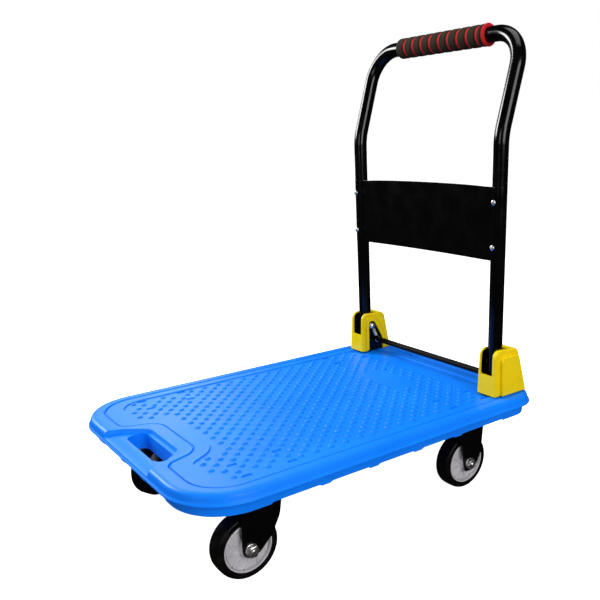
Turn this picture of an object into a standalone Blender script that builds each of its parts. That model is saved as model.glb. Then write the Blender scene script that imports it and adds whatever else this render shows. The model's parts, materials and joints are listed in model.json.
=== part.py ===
"""Folding platform cart: moulded deck, folding U handle, foot release bar and four casters.

Metres, +Z up, floor at z = 0. +Y is the handle end, -Y the end with the hand slot, X runs across.
The origin is on the floor under the middle of the deck.
"""

import math

import bmesh
import bpy
from mathutils import Matrix, Vector

# Deck
DECK_WIDTH = 0.482
DECK_LENGTH = 0.687
DECK_TOP = 0.167
DECK_BOTTOM = 0.130
FRONT_CORNER = 0.088
REAR_CORNER = 0.056
CORNER_STEPS = 5
PLATE_THICKNESS = 0.0045
FIELD_HALF_WIDTH = 0.195
FIELD_FRONT_Y = -0.228
FIELD_REAR_Y = 0.243
FIELD_Z = 0.1656
SKIRT_INSET = 0.011
LIP_Z = 0.152
SLOT_HALF_LENGTH = 0.062
SLOT_REAR_Y = -0.284
SLOT_FRONT_Y = -0.316
SLOT_CORNER = 0.013
BAR_TOP = 0.159

# Folding handle
PIPE_X = 0.187
PIPE_RADIUS = 0.0127
PIPE_WALL = 0.0015
PIVOT_Y = 0.2715
PIVOT_Z = 0.224
LEG_LEAN = math.radians(0.9)
LEG_FOOT = 0.0285
BEND_HEIGHT = 0.388
BEND_RADIUS = 0.10
BEND_ANGLE = math.radians(17.0)
BAR_HEIGHT = 0.556
CORNER_RADIUS = 0.058
GRIP_HALF_LENGTH = 0.111
GRIP_RADIUS = 0.018
CORE_RADIUS = 0.0148
GRIP_GROOVES = 9
GUARD_LOW = 0.182
GUARD_HIGH = 0.307
GUARD_SHEET = 0.0015
SCREW_HEIGHTS = (0.206, 0.281)

# Hinge brackets
BRACKET_FRONT_Y = 0.2495
BRACKET_REAR_Y = 0.3255
BRACKET_TOP = 0.251
COVER_INNER_X = 0.1685
COVER_OUTER_X = 0.2075
PANEL_X = 0.211
NOTCH_Z = 0.205
STEEL = 0.0023
STEEL_HALF = 0.0158
PIN_RADIUS = 0.0047
SPRING_X = 0.1650

# Release bar: it lies behind the tube ends and travels away from the pivot
BAR_RADIUS = 0.005
BAR_REACH = 0.0369
BAR_ANGLE = math.radians(63.4)
BAR_TRAVEL = 0.008
SLEEVE_RADIUS = 0.0072

# Casters
CASTER_X = 0.174
CASTER_Y = 0.200
REAR_CASTER_Y = 0.204
TRAIL = 0.041
REST_SWIVEL = {"left": math.radians(25.0), "right": 0.0}
WHEEL_RADIUS = 0.050
TYRE_HALF_WIDTH = 0.0145
RIM_RADIUS = 0.0385
LATHE_STEPS = 20
PIPE_SIDES = 12
FORK_INNER = 0.0195
FORK_SHEET = 0.0025
CROWN_TOP = 0.1185
PLATE_TOP = 0.1297
PLATE_SHEET = 0.0025
AXLE_RADIUS = 0.0049

GAP = 0.0003
FINE = 0.0001

SIDES = (("left", -1), ("right", 1))


# ---------------------------------------------------------------- scene helpers

def clear_scene():
    for obj in list(bpy.data.objects):
        bpy.data.objects.remove(obj, do_unlink=True)


def make_material(name, colour, roughness, metallic=0.0):
    material = bpy.data.materials.new(name)
    material.use_nodes = True
    shader = material.node_tree.nodes["Principled BSDF"]
    shader.inputs["Base Color"].default_value = (*colour, 1.0)
    shader.inputs["Roughness"].default_value = roughness
    shader.inputs["Metallic"].default_value = metallic
    material.diffuse_color = (*colour, 1.0)
    return material


def make_materials():
    return {
        "deck": make_material("deck_blue", (0.02, 0.22, 0.85), 0.45),
        "cover": make_material("cover_yellow", (0.80, 0.62, 0.02), 0.35),
        "paint": make_material("black_paint", (0.012, 0.011, 0.011), 0.25),
        "zinc": make_material("zinc", (0.62, 0.62, 0.62), 0.35, 1.0),
        "foam": make_material("black_foam", (0.02, 0.018, 0.016), 0.85),
        "red": make_material("red_foam", (0.65, 0.02, 0.03), 0.70),
        "rubber": make_material("tyre_rubber", (0.015, 0.015, 0.015), 0.75),
        "rim": make_material("grey_rim", (0.38, 0.38, 0.40), 0.50),
        "sleeve": make_material("bar_sleeve", (0.015, 0.015, 0.016), 0.80),
    }


def add_empty(name, location, parent=None, turn_x=0.0, turn_z=0.0):
    empty = bpy.data.objects.new(name, None)
    bpy.context.scene.collection.objects.link(empty)
    empty.location = location
    empty.rotation_euler = (turn_x, 0.0, turn_z)
    empty.parent = parent
    return empty


def add_object(name, bm, material, location=(0, 0, 0), parent=None):
    bmesh.ops.recalc_face_normals(bm, faces=bm.faces)
    mesh = bpy.data.meshes.new(name)
    bm.to_mesh(mesh)
    bm.free()
    mesh.materials.append(material)
    obj = bpy.data.objects.new(name, mesh)
    bpy.context.scene.collection.objects.link(obj)
    obj.location = location
    obj.parent = parent
    return obj


def add_cutter(name, bm, like):
    """A helper solid in the same place as the object that it shapes."""
    cutter = add_object(name, bm, bpy.data.materials["zinc"], like.location, like.parent)
    cutter.display_type = "WIRE"
    cutter.hide_render = True
    return cutter


def boolean(obj, bm, label, operation="DIFFERENCE"):
    cutter = add_cutter(f"{obj.name}_{label}", bm, obj)
    modifier = obj.modifiers.new(label, "BOOLEAN")
    modifier.operation = operation
    modifier.solver = "EXACT"
    modifier.object = cutter
    return cutter


def smooth(obj, angle=35):
    obj.data.shade_smooth()
    obj.data.set_sharp_from_angle(angle=math.radians(angle))


# ---------------------------------------------------------------- shape helpers

def box(low, high):
    bm = bmesh.new()
    size = Vector(high) - Vector(low)
    middle = (Vector(high) + Vector(low)) / 2
    bmesh.ops.create_cube(bm, size=1.0)
    bmesh.ops.scale(bm, vec=size, verts=bm.verts)
    bmesh.ops.translate(bm, vec=middle, verts=bm.verts)
    return bm


def prism(points, low, high, axis="X"):
    """A flat outline, given in the other two axes, extruded from low to high along one axis."""
    place = {
        "X": lambda u, v: (low, u, v),
        "Y": lambda u, v: (u, low, v),
        "Z": lambda u, v: (u, v, low),
    }[axis]
    step = {"X": (high - low, 0, 0), "Y": (0, high - low, 0), "Z": (0, 0, high - low)}[axis]
    bm = bmesh.new()
    face = bm.faces.new([bm.verts.new(place(u, v)) for u, v in points])
    made = bmesh.ops.extrude_face_region(bm, geom=[face])["geom"]
    bmesh.ops.translate(bm, vec=step, verts=[g for g in made if isinstance(g, bmesh.types.BMVert)])
    return bm


def turned(profile, axis="Z", centre=(0, 0, 0), steps=LATHE_STEPS):
    """A closed (along, radius) profile spun once round an axis through centre."""
    bm = bmesh.new()
    start = {
        "X": lambda along, radius: (along, 0, -radius),
        "Z": lambda along, radius: (radius, 0, along),
    }[axis]
    middle = Vector(centre)
    verts = [bm.verts.new(Vector(start(a, r)) + middle) for a, r in profile]
    edges = [bm.edges.new((verts[i - 1], verts[i])) for i in range(len(verts))]
    direction = (1, 0, 0) if axis == "X" else (0, 0, 1)
    bmesh.ops.spin(bm, geom=verts + edges, cent=middle, axis=direction, angle=math.tau,
                   steps=steps, use_merge=True)
    bmesh.ops.remove_doubles(bm, verts=bm.verts, dist=0.000001)
    return bm


def rod(radius, low, high, centre=(0, 0), sides=16, turn=0.0):
    """A solid bar along X through (y, z) = centre."""
    points = [
        (centre[0] + radius * math.cos(turn + math.tau * i / sides),
         centre[1] + radius * math.sin(turn + math.tau * i / sides))
        for i in range(sides)
    ]
    return prism(points, low, high, "X")


def joined(*parts):
    """Several bmeshes as one, for pieces that a Boolean union or a cutter takes together."""
    total = bmesh.new()
    for part in parts:
        mesh = bpy.data.meshes.new("part")
        part.to_mesh(mesh)
        part.free()
        total.from_mesh(mesh)
        bpy.data.meshes.remove(mesh)
    return total


def arc(centre, radius, start, end, steps):
    """Points on an arc, angles in degrees."""
    return [
        (centre[0] + radius * math.cos(math.radians(start + (end - start) * i / steps)),
         centre[1] + radius * math.sin(math.radians(start + (end - start) * i / steps)))
        for i in range(steps + 1)
    ]


def deck_outline(inset):
    """The deck seen from above, with round corners, pulled in by inset."""
    x = DECK_WIDTH / 2 - inset
    y = DECK_LENGTH / 2 - inset
    front = FRONT_CORNER - inset
    rear = REAR_CORNER - inset
    return (arc((x - rear, y - rear), rear, 0, 90, CORNER_STEPS)
            + arc((rear - x, y - rear), rear, 90, 180, CORNER_STEPS)
            + arc((front - x, front - y), front, 180, 270, CORNER_STEPS)
            + arc((x - front, front - y), front, 270, 360, CORNER_STEPS))


def lofted(levels):
    """A closed stack of outlines, each (points, z), capped at both ends."""
    bm = bmesh.new()
    rings = [[bm.verts.new((x, y, z)) for x, y in points] for points, z in levels]
    for low, high in zip(rings, rings[1:]):
        for i in range(len(low)):
            bm.faces.new((low[i - 1], low[i], high[i], high[i - 1]))
    bm.faces.new(rings[0])
    bm.faces.new(rings[-1])
    return bm


# ---------------------------------------------------------------- deck

def rim_levels():
    """(inset, z) from the foot of the skirt, round the lip and over the rim to the panel."""
    return (
        (SKIRT_INSET + 0.002, DECK_BOTTOM),
        (SKIRT_INSET, LIP_Z - 0.003),
        (0.0008, LIP_Z - 0.002),
        (0.0, LIP_Z),
        (0.0012, LIP_Z + 0.003),
        (0.0040, DECK_TOP - 0.006),
        (0.0068, DECK_TOP - 0.0018),
        (0.0110, DECK_TOP),
        (0.0215, DECK_TOP),
        (0.0236, DECK_TOP - 0.0016),
        (0.0265, DECK_TOP - 0.0006),
    )


def pocket_cells():
    """Hollows under the deck, between its ribs. Solid bosses stay over casters and brackets."""
    columns = ((0.002, 0.064), (0.068, 0.126), (0.130, 0.206), (0.210, 0.226))
    rows = ((-0.328, -0.254), (-0.250, -0.150), (-0.146, -0.076), (-0.072, -0.002),
            (0.002, 0.072), (0.076, 0.146), (0.150, 0.250), (0.254, 0.328))
    for y_low, y_high in rows:
        over_caster = abs(y_low + y_high) / 2 == CASTER_Y
        for x_low, x_high in columns:
            over_wheel = x_low < CASTER_X < x_high
            if over_wheel and (over_caster or y_high > 0.300):
                continue
            if y_high < -0.250 and x_low < SLOT_HALF_LENGTH:
                continue
            yield (x_low, y_low), (x_high, y_high)
            yield (-x_high, y_low), (-x_low, y_high)


def add_pockets(deck):
    ceiling = DECK_TOP - PLATE_THICKNESS
    boxes = [box((*low, DECK_BOTTOM - 0.01), (*high, ceiling)) for low, high in pocket_cells()]
    pockets = boolean(deck, joined(*boxes), "pockets")
    inner = deck_outline(SKIRT_INSET + 0.0055)
    boolean(pockets, prism(inner, DECK_BOTTOM - 0.02, DECK_TOP, "Z"), "inside", "INTERSECT")


def slot_outline(grow=0.0):
    corner = SLOT_CORNER + grow
    x = SLOT_HALF_LENGTH + grow - corner
    rear = SLOT_REAR_Y + grow - corner
    front = SLOT_FRONT_Y - grow + corner
    return (arc((x, rear), corner, 0, 90, 4) + arc((-x, rear), corner, 90, 180, 4)
            + arc((-x, front), corner, 180, 270, 4) + arc((x, front), corner, 270, 360, 4))


def add_hand_slot(deck):
    """A lower grip bar across the front, and the slot behind it that the fingers go through."""
    def funnel(grow):
        half = ((0.050, -0.2745), (0.080, -0.3125), (0.094, -0.3600))
        right = [(x + grow, y + (grow if i == 0 else 0)) for i, (x, y) in enumerate(half)]
        return right + [(-x, y) for x, y in reversed(right)]
    low = list(funnel(-0.006))
    boolean(deck, lofted(((low, BAR_TOP), (funnel(0.0), DECK_TOP + FINE))), "recess")
    boolean(deck, prism(slot_outline(), DECK_BOTTOM - 0.01, DECK_TOP, "Z"), "slot")


def build_deck(materials):
    levels = [(deck_outline(inset), z) for inset, z in rim_levels()]
    deck = add_object("deck", lofted(levels), materials["deck"])
    field = box((-FIELD_HALF_WIDTH, FIELD_FRONT_Y, FIELD_Z),
                (FIELD_HALF_WIDTH, FIELD_REAR_Y, DECK_TOP + 0.01))
    boolean(deck, field, "field")
    add_pockets(deck)
    add_hand_slot(deck)
    smooth(deck, 25)


# ---------------------------------------------------------------- hinge brackets

def bracket_profile(inset=0.0, foot=DECK_TOP + GAP, shorten=0.0):
    """Side view of a bracket as (y, z): upright front, round top corners, sloping back."""
    front = BRACKET_FRONT_Y + inset
    top = BRACKET_TOP - inset
    rear = BRACKET_REAR_Y - inset - shorten
    slope = 0.017
    radius = 0.010 - inset / 2
    return ([(front, foot)]
            + arc((front + radius, top - radius), radius, 180, 90, 4)
            + arc((rear - slope - radius, top - radius - 0.002), radius, 85, 15, 3)
            + [(rear, foot)])


def bar_place(travel=0.0):
    reach = BAR_REACH + travel
    return (PIVOT_Y + reach * math.cos(BAR_ANGLE), PIVOT_Z - reach * math.sin(BAR_ANGLE))


def build_hinge_base(name, side, material):
    """Bent steel channel that holds the hinge pin and guides the release bar."""
    foot = DECK_TOP + GAP
    top = BRACKET_TOP
    wide = STEEL_HALF
    narrow = STEEL_HALF - STEEL
    channel = ((-wide, foot), (wide, foot), (wide, top), (narrow, top),
               (narrow, foot + STEEL), (-narrow, foot + STEEL), (-narrow, top), (-wide, top))
    middle = side * PIPE_X
    points = [(middle + x, z) for x, z in channel]
    base = add_object(name, prism(points, BRACKET_FRONT_Y - 0.002, BRACKET_REAR_Y, "Y"), material)
    profile = bracket_profile(0.0032, foot - FINE, 0.002)
    profile[0] = (BRACKET_FRONT_Y - 0.0018, foot - FINE)
    profile.insert(1, (BRACKET_FRONT_Y - 0.0018, foot + STEEL))
    profile.insert(2, (BRACKET_FRONT_Y + 0.0032, foot + STEEL))
    boolean(base, prism(profile, middle - 0.03, middle + 0.03), "sides", "INTERSECT")
    hole = rod(PIN_RADIUS + GAP, middle - 0.03, middle + 0.03, (PIVOT_Y, PIVOT_Z), 12)
    boolean(base, hole, "pin_hole")
    slot = bar_slot(BAR_RADIUS + 0.0004)
    boolean(base, prism(slot, middle - 0.03, middle + 0.03), "bar_slot")


def bar_slot(radius):
    """The outline, in (y, z), that the release bar sweeps on its travel."""
    start, end = bar_place(), bar_place(BAR_TRAVEL)
    turn = -math.degrees(BAR_ANGLE)
    return arc(start, radius, turn + 90, turn + 270, 6) + arc(end, radius, turn - 90, turn + 90, 6)


def arch_outline():
    """The opening in the inner wall of a cover, over the pin, the spring and the bar."""
    front, rear, foot, top = 0.2655, 0.3065, 0.160, 0.2335
    return ([(front, foot)] + arc((front + 0.006, top - 0.006), 0.006, 180, 90, 3)
            + arc((front + 0.016, top - 0.006), 0.006, 80, 15, 3) + [(rear, foot)])


def build_hinge_cover(name, side, material):
    """Moulded cover over the steel channel: open below, notched for the tube, arched inside."""
    def span(low, high):
        return sorted((side * low, side * high))
    foot = DECK_TOP + GAP + STEEL + GAP
    shell = add_object(name, prism(bracket_profile(0, foot), *span(COVER_INNER_X, COVER_OUTER_X)),
                       material)
    bevel = shell.modifiers.new("edges", "BEVEL")
    bevel.width = 0.0022
    bevel.segments = 2
    bevel.limit_method = "ANGLE"
    bevel.angle_limit = math.radians(50)
    panel = bracket_profile(0.0, foot + 0.0022)
    panel = [(y + 0.011 if y < 0.28 else y - 0.002, z - 0.012 if z > 0.2 else z) for y, z in panel]
    boolean(shell, prism(panel, *span(COVER_OUTER_X - 0.003, PANEL_X)), "panel", "UNION")
    cavity = bracket_profile(0.0026, foot - 0.005)
    inner = span(PIPE_X - STEEL_HALF - 0.0005, PIPE_X + STEEL_HALF + 0.0024)
    boolean(shell, prism(cavity, *inner), "cavity")
    half = PIPE_RADIUS + 0.0008
    notch = box((side * PIPE_X - half, BRACKET_FRONT_Y - 0.01, NOTCH_Z),
                (side * PIPE_X + half, PIVOT_Y + PIPE_RADIUS + 0.0035, BRACKET_TOP + 0.01))
    boolean(shell, notch, "notch")
    boolean(shell, prism(arch_outline(), *span(COVER_INNER_X - 0.005, PIPE_X - STEEL_HALF)), "arch")


def build_hinge_pin(name, side, material):
    """Headed pin: steel channel outside, spring hook and head inside."""
    profile = ((0.2048, 0.0), (0.2048, 0.0066), (0.2031, 0.0066), (0.2031, PIN_RADIUS),
               (SPRING_X - 0.0034, PIN_RADIUS), (SPRING_X - 0.0034, 0.0062),
               (SPRING_X - 0.0062, 0.0056), (SPRING_X - 0.0062, 0.0))
    points = [(side * x, r) for x, r in profile]
    bm = bmesh.new()
    verts = [bm.verts.new((x, PIVOT_Y, PIVOT_Z - r)) for x, r in points]
    edges = [bm.edges.new(pair) for pair in zip(verts, verts[1:])]
    bmesh.ops.spin(bm, geom=verts + edges, cent=(0, PIVOT_Y, PIVOT_Z), axis=(1, 0, 0),
                   angle=math.tau, steps=16, use_merge=True)
    bmesh.ops.remove_doubles(bm, verts=bm.verts, dist=0.000001)
    bmesh.ops.dissolve_degenerate(bm, edges=bm.edges, dist=0.000001)
    smooth(add_object(name, bm, material))


def spring_path():
    """Hook round the pin, coil, hook round the bar: (across, along) with along from pin to bar."""
    wire = 0.0006
    pin_hook = PIN_RADIUS + GAP + wire
    bar_hook = BAR_RADIUS + GAP + wire
    coil = 0.0030
    turns, per_turn = 5, 6
    start, end = 0.009, BAR_REACH - 0.010
    path = [(pin_hook * math.sin(a), -pin_hook * math.cos(a), 0.0)
            for a in (math.radians(d) for d in range(-120, 91, 42))]
    for i in range(turns * per_turn + 1):
        angle = math.tau * i / per_turn
        along = start + (end - start) * i / (turns * per_turn)
        path.append((coil * math.cos(angle), along, coil * math.sin(angle)))
    path += [(bar_hook * math.sin(a), BAR_REACH - bar_hook * math.cos(a), 0.0)
             for a in (math.radians(d) for d in range(90, 301, 42))]
    return path


def build_spring(name, side, material):
    """Extension spring from the hinge pin to the release bar."""
    along = Vector((0, math.cos(BAR_ANGLE), -math.sin(BAR_ANGLE)))
    across = Vector((0, math.sin(BAR_ANGLE), math.cos(BAR_ANGLE)))
    origin = Vector((side * SPRING_X, PIVOT_Y, PIVOT_Z))
    curve = bpy.data.curves.new(name, "CURVE")
    curve.dimensions = "3D"
    curve.bevel_depth = 0.0006
    curve.bevel_resolution = 0
    curve.use_fill_caps = True
    path = spring_path()
    spline = curve.splines.new("POLY")
    spline.points.add(len(path) - 1)
    for point, (u, v, w) in zip(spline.points, path):
        place = origin + across * u + along * v + Vector((w, 0, 0))
        point.co = (*place, 1.0)
    curve.materials.append(material)
    obj = bpy.data.objects.new(name, curve)
    bpy.context.scene.collection.objects.link(obj)


def build_brackets(materials):
    for label, side in SIDES:
        build_hinge_base(f"hinge_base_{label}", side, materials["paint"])
        build_hinge_cover(f"hinge_cover_{label}", side, materials["cover"])
        build_hinge_pin(f"hinge_pin_{label}", side, materials["zinc"])
        build_spring(f"return_spring_{label}", side, materials["zinc"])


# ---------------------------------------------------------------- release bar

def build_release_bar(materials):
    y, z = bar_place()
    pivot = add_empty("release_bar_slide", (0, y, z))
    reach = PIPE_X + STEEL_HALF
    bar = add_object("release_bar", rod(BAR_RADIUS, -reach, reach), materials["paint"], parent=pivot)
    smooth(bar)
    length = SPRING_X - 0.008
    ring = ((-length, BAR_RADIUS + GAP), (-length, SLEEVE_RADIUS),
            (length, SLEEVE_RADIUS), (length, BAR_RADIUS + GAP))
    sleeve = add_object("release_sleeve", turned(ring, "X", steps=16), materials["sleeve"],
                        parent=pivot)
    smooth(sleeve)


# ---------------------------------------------------------------- folding handle

def bent(height):
    """(y, z) of a point that far up the developed leg: straight, then bent back."""
    reach = BEND_RADIUS * math.tan(BEND_ANGLE / 2)
    start = BEND_HEIGHT - reach
    arc_length = BEND_RADIUS * BEND_ANGLE
    if height <= start:
        return 0.0, height
    if height <= start + arc_length:
        angle = (height - start) / BEND_RADIUS
        return BEND_RADIUS * (1 - math.cos(angle)), start + BEND_RADIUS * math.sin(angle)
    over = height - start - arc_length + reach
    return over * math.sin(BEND_ANGLE), BEND_HEIGHT + over * math.cos(BEND_ANGLE)


def handle_path():
    """Centre line of the U tube, from the left foot over the grip bar to the right foot."""
    reach = BEND_RADIUS * math.tan(BEND_ANGLE / 2)
    low = BEND_HEIGHT - reach
    heights = [-LEG_FOOT] + [low + BEND_RADIUS * BEND_ANGLE * i / 2 for i in range(3)]
    right = [(PIPE_X, h) for h in heights]
    right += arc((PIPE_X - CORNER_RADIUS, BAR_HEIGHT - CORNER_RADIUS), CORNER_RADIUS, 0, 90, 5)
    left = [(-x, h) for x, h in right]
    return [(x, *bent(h)) for x, h in left + right[::-1]]


def swept(path, radius, sides):
    """An open tube surface round a path."""
    curve = bpy.data.curves.new("sweep", "CURVE")
    curve.dimensions = "3D"
    curve.bevel_depth = radius
    curve.bevel_resolution = sides // 2 - 2
    curve.use_fill_caps = False
    spline = curve.splines.new("POLY")
    spline.points.add(len(path) - 1)
    for point, place in zip(spline.points, path):
        point.co = (*place, 1.0)
    obj = bpy.data.objects.new("sweep", curve)
    bpy.context.scene.collection.objects.link(obj)
    mesh = bpy.data.meshes.new_from_object(obj)
    bm = bmesh.new()
    bm.from_mesh(mesh)
    bmesh.ops.remove_doubles(bm, verts=bm.verts, dist=0.000001)
    bpy.data.objects.remove(obj)
    bpy.data.curves.remove(curve)
    bpy.data.meshes.remove(mesh)
    return bm


def build_handle_tube(pivot, material):
    path = handle_path()
    bore = swept(path, PIPE_RADIUS - PIPE_WALL, PIPE_SIDES)
    bmesh.ops.reverse_faces(bore, faces=bore.faces)
    bm = joined(swept(path, PIPE_RADIUS, PIPE_SIDES), bore)
    rims = [edge for edge in bm.edges if edge.is_boundary]
    for side in (-1, 1):
        end = [edge for edge in rims if edge.verts[0].co.x * side > 0]
        bmesh.ops.bridge_loops(bm, edges=end)
    tube = add_object("handle_tube", bm, material, parent=pivot)
    for label, side in SIDES:
        low, high = side * PIPE_X - 0.02, side * PIPE_X + 0.02
        boolean(tube, rod(0.0068, low, high), f"bush_hole_{label}")
    smooth(tube)


def build_bushes(pivot, material):
    """Flangeless bushes through the tube feet, running on the hinge pins."""
    for label, side in SIDES:
        low, high = side * PIPE_X - 0.0131, side * PIPE_X + 0.0131
        ring = ((low, PIN_RADIUS + GAP), (low, 0.0064), (high, 0.0064), (high, PIN_RADIUS + GAP))
        bush = add_object(f"pivot_bush_{label}", turned(ring, "X", steps=16), material, parent=pivot)
        smooth(bush)


def build_grip(pivot, materials):
    """Two foam layers on the bar: a red core with an end flange, a grooved black sleeve over it."""
    y, z = bent(BAR_HEIGHT)
    inside = PIPE_RADIUS + GAP
    half = GRIP_HALF_LENGTH
    flange = 0.005
    core = ((-half, inside), (-half, CORE_RADIUS), (half - flange, CORE_RADIUS),
            (half - flange, GRIP_RADIUS), (half, GRIP_RADIUS), (half, inside))
    obj = add_object("grip_core", turned(core, "X", (0, y, z), 16), materials["red"], parent=pivot)
    smooth(obj)
    pitch = (2 * half - flange) / (GRIP_GROOVES + 0.5)
    floor = CORE_RADIUS + 0.0009
    outer = [(-half, CORE_RADIUS + GAP), (-half, floor + 0.0015)]
    for i in range(GRIP_GROOVES):
        middle = -half + pitch * (i + 1)
        outer += [(middle - pitch * 0.45, GRIP_RADIUS), (middle - pitch * 0.20, floor)]
    outer += [(half - flange - pitch * 0.3, GRIP_RADIUS),
              (half - flange - GAP, GRIP_RADIUS), (half - flange - GAP, CORE_RADIUS + GAP)]
    obj = add_object("grip_sleeve", turned(outer, "X", (0, y, z), 16), materials["foam"],
                     parent=pivot)
    smooth(obj, 20)


def guard_section():
    """Plan of the guard sheet: flat between the legs, its ends wrapped over their fronts."""
    radius = PIPE_RADIUS + GAP
    setback = 0.0065
    start = -180 + math.degrees(math.asin(setback / radius))
    wrap = arc((PIPE_X, 0), radius, start, -20, 6)
    outer_start = -180 + math.degrees(math.asin((setback + GUARD_SHEET) / (radius + GUARD_SHEET)))
    outer = arc((PIPE_X, 0), radius + GUARD_SHEET, outer_start, -20, 6)
    back = [(-x, y) for x, y in reversed(wrap)] + wrap
    front = [(-x, y) for x, y in reversed(outer)] + outer
    return back + front[::-1]


def build_guard(pivot, materials):
    add_object("guard_plate", prism(guard_section(), GUARD_LOW, GUARD_HIGH, "Z"),
               materials["paint"], parent=pivot)
    face = PIPE_RADIUS + GAP + GUARD_SHEET + GAP
    for label, side in SIDES:
        for level, height in zip(("low", "high"), SCREW_HEIGHTS):
            screw = add_object(f"guard_screw_{label}_{level}", screw_head(), materials["zinc"],
                               (side * PIPE_X, -face, height), pivot)
            smooth(screw)


def screw_head():
    """A solid domed head that faces -Y."""
    circle = arc((0, 0), 1.0, 0, 336, 14)
    rings = ((0.0046, 0.0), (0.0040, 0.0014), (0.0020, 0.0024))
    bm = lofted([([(x * radius, y * radius) for x, y in circle], height)
                 for radius, height in rings])
    bmesh.ops.rotate(bm, cent=(0, 0, 0), matrix=Matrix.Rotation(math.pi / 2, 3, "X"), verts=bm.verts)
    return bm


def build_handle(materials):
    pivot = add_empty("handle_pivot", (0, PIVOT_Y, PIVOT_Z), turn_x=LEG_LEAN)
    build_handle_tube(pivot, materials["paint"])
    build_bushes(pivot, materials["zinc"])
    build_grip(pivot, materials)
    build_guard(pivot, materials)


# ---------------------------------------------------------------- casters

def build_wheel(label, axle, parent, materials):
    """Tyre, rim and bush, all turned round the axle."""
    spin = add_empty(f"wheel_spin_{label}", axle, parent)
    width = TYRE_HALF_WIDTH
    inner = RIM_RADIUS + GAP
    half = ((0.0, WHEEL_RADIUS), (width * 0.85, WHEEL_RADIUS - 0.0006),
            (width, WHEEL_RADIUS - 0.0035), (width, inner))
    tyre = list(half) + [(-x, r) for x, r in reversed(half[1:])]
    smooth(add_object(f"tyre_{label}", turned(tyre, "X"), materials["rubber"], parent=spin))
    face = width - 0.0010
    half = ((face, RIM_RADIUS), (face, RIM_RADIUS - 0.0035), (0.0060, RIM_RADIUS - 0.0065),
            (0.0060, 0.0140), (FORK_INNER - 0.0015, 0.0130), (FORK_INNER - 0.0015, 0.0083))
    rim = list(half) + [(-x, r) for x, r in reversed(half)]
    smooth(add_object(f"rim_{label}", turned(rim, "X"), materials["rim"], parent=spin))
    end = FORK_INNER - 0.0006
    ring = ((-end, AXLE_RADIUS + GAP), (-end, 0.0080), (end, 0.0080), (end, AXLE_RADIUS + GAP))
    smooth(add_object(f"wheel_bush_{label}", turned(ring, "X", steps=16), materials["zinc"],
                      parent=spin))


def build_axle(label, axle, side, parent, materials):
    """Bolt with its hexagon head on the inner face and its nut and washer on the outer face."""
    outside = FORK_INNER + FORK_SHEET + GAP
    reach = outside + 0.0105
    bolt = add_object(f"axle_bolt_{label}",
                      rod(AXLE_RADIUS, *sorted((-side * (outside + 0.003), side * reach))),
                      materials["zinc"], axle, parent)
    head = rod(0.0098, *sorted((-side * outside, -side * (outside + 0.0064))), sides=6)
    boolean(bolt, head, "head", "UNION")
    washer = rod(0.0105, *sorted((side * outside, side * (outside + 0.0016))), sides=20)
    nut = add_object(f"axle_nut_{label}", washer, materials["zinc"], axle, parent)
    block = rod(0.0098, *sorted((side * (outside + 0.0008), side * (outside + 0.0088))), sides=6)
    boolean(nut, block, "hexagon", "UNION")
    through = sorted((side * (outside - 0.01), side * (outside + 0.02)))
    hole = rod(AXLE_RADIUS + GAP, *through, sides=12)
    boolean(nut, hole, "hole")


def fork_channel(top, y_low, y_high):
    """Inverted U section, legs down to below the axle, extruded along Y."""
    wide = FORK_INNER + FORK_SHEET
    floor = 0.020
    points = ((-wide, floor), (-FORK_INNER, floor), (-FORK_INNER, top - FORK_SHEET),
              (FORK_INNER, top - FORK_SHEET), (FORK_INNER, floor), (wide, floor),
              (wide, top), (-wide, top))
    return prism(points, y_low, y_high, "Y")


def swivel_fork_profile():
    """Side view of a front fork, (y, z) from the swivel axis: it rakes to the trailing axle."""
    boss = arc((-TRAIL, WHEEL_RADIUS), 0.013, 180, 315, 7)
    return boss + [(-0.0095, 0.0625), (0.009, 0.101), (0.014, 0.112), (0.014, CROWN_TOP),
                   (-0.030, CROWN_TOP), (-0.050, 0.104), (-0.054, 0.092)]


def rigid_fork_profile():
    """Side view of a rear fork, (y, z) from its axle: a plain V."""
    boss = arc((0, WHEEL_RADIUS), 0.0135, 190, 350, 7)
    return boss + [(0.024, 0.075), (0.032, 0.112), (0.032, PLATE_TOP), (-0.032, PLATE_TOP),
                   (-0.032, 0.112), (-0.024, 0.075)]


def top_plate():
    return box((-0.0315, -0.0475, PLATE_TOP - PLATE_SHEET), (0.0315, 0.0475, PLATE_TOP))


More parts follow.
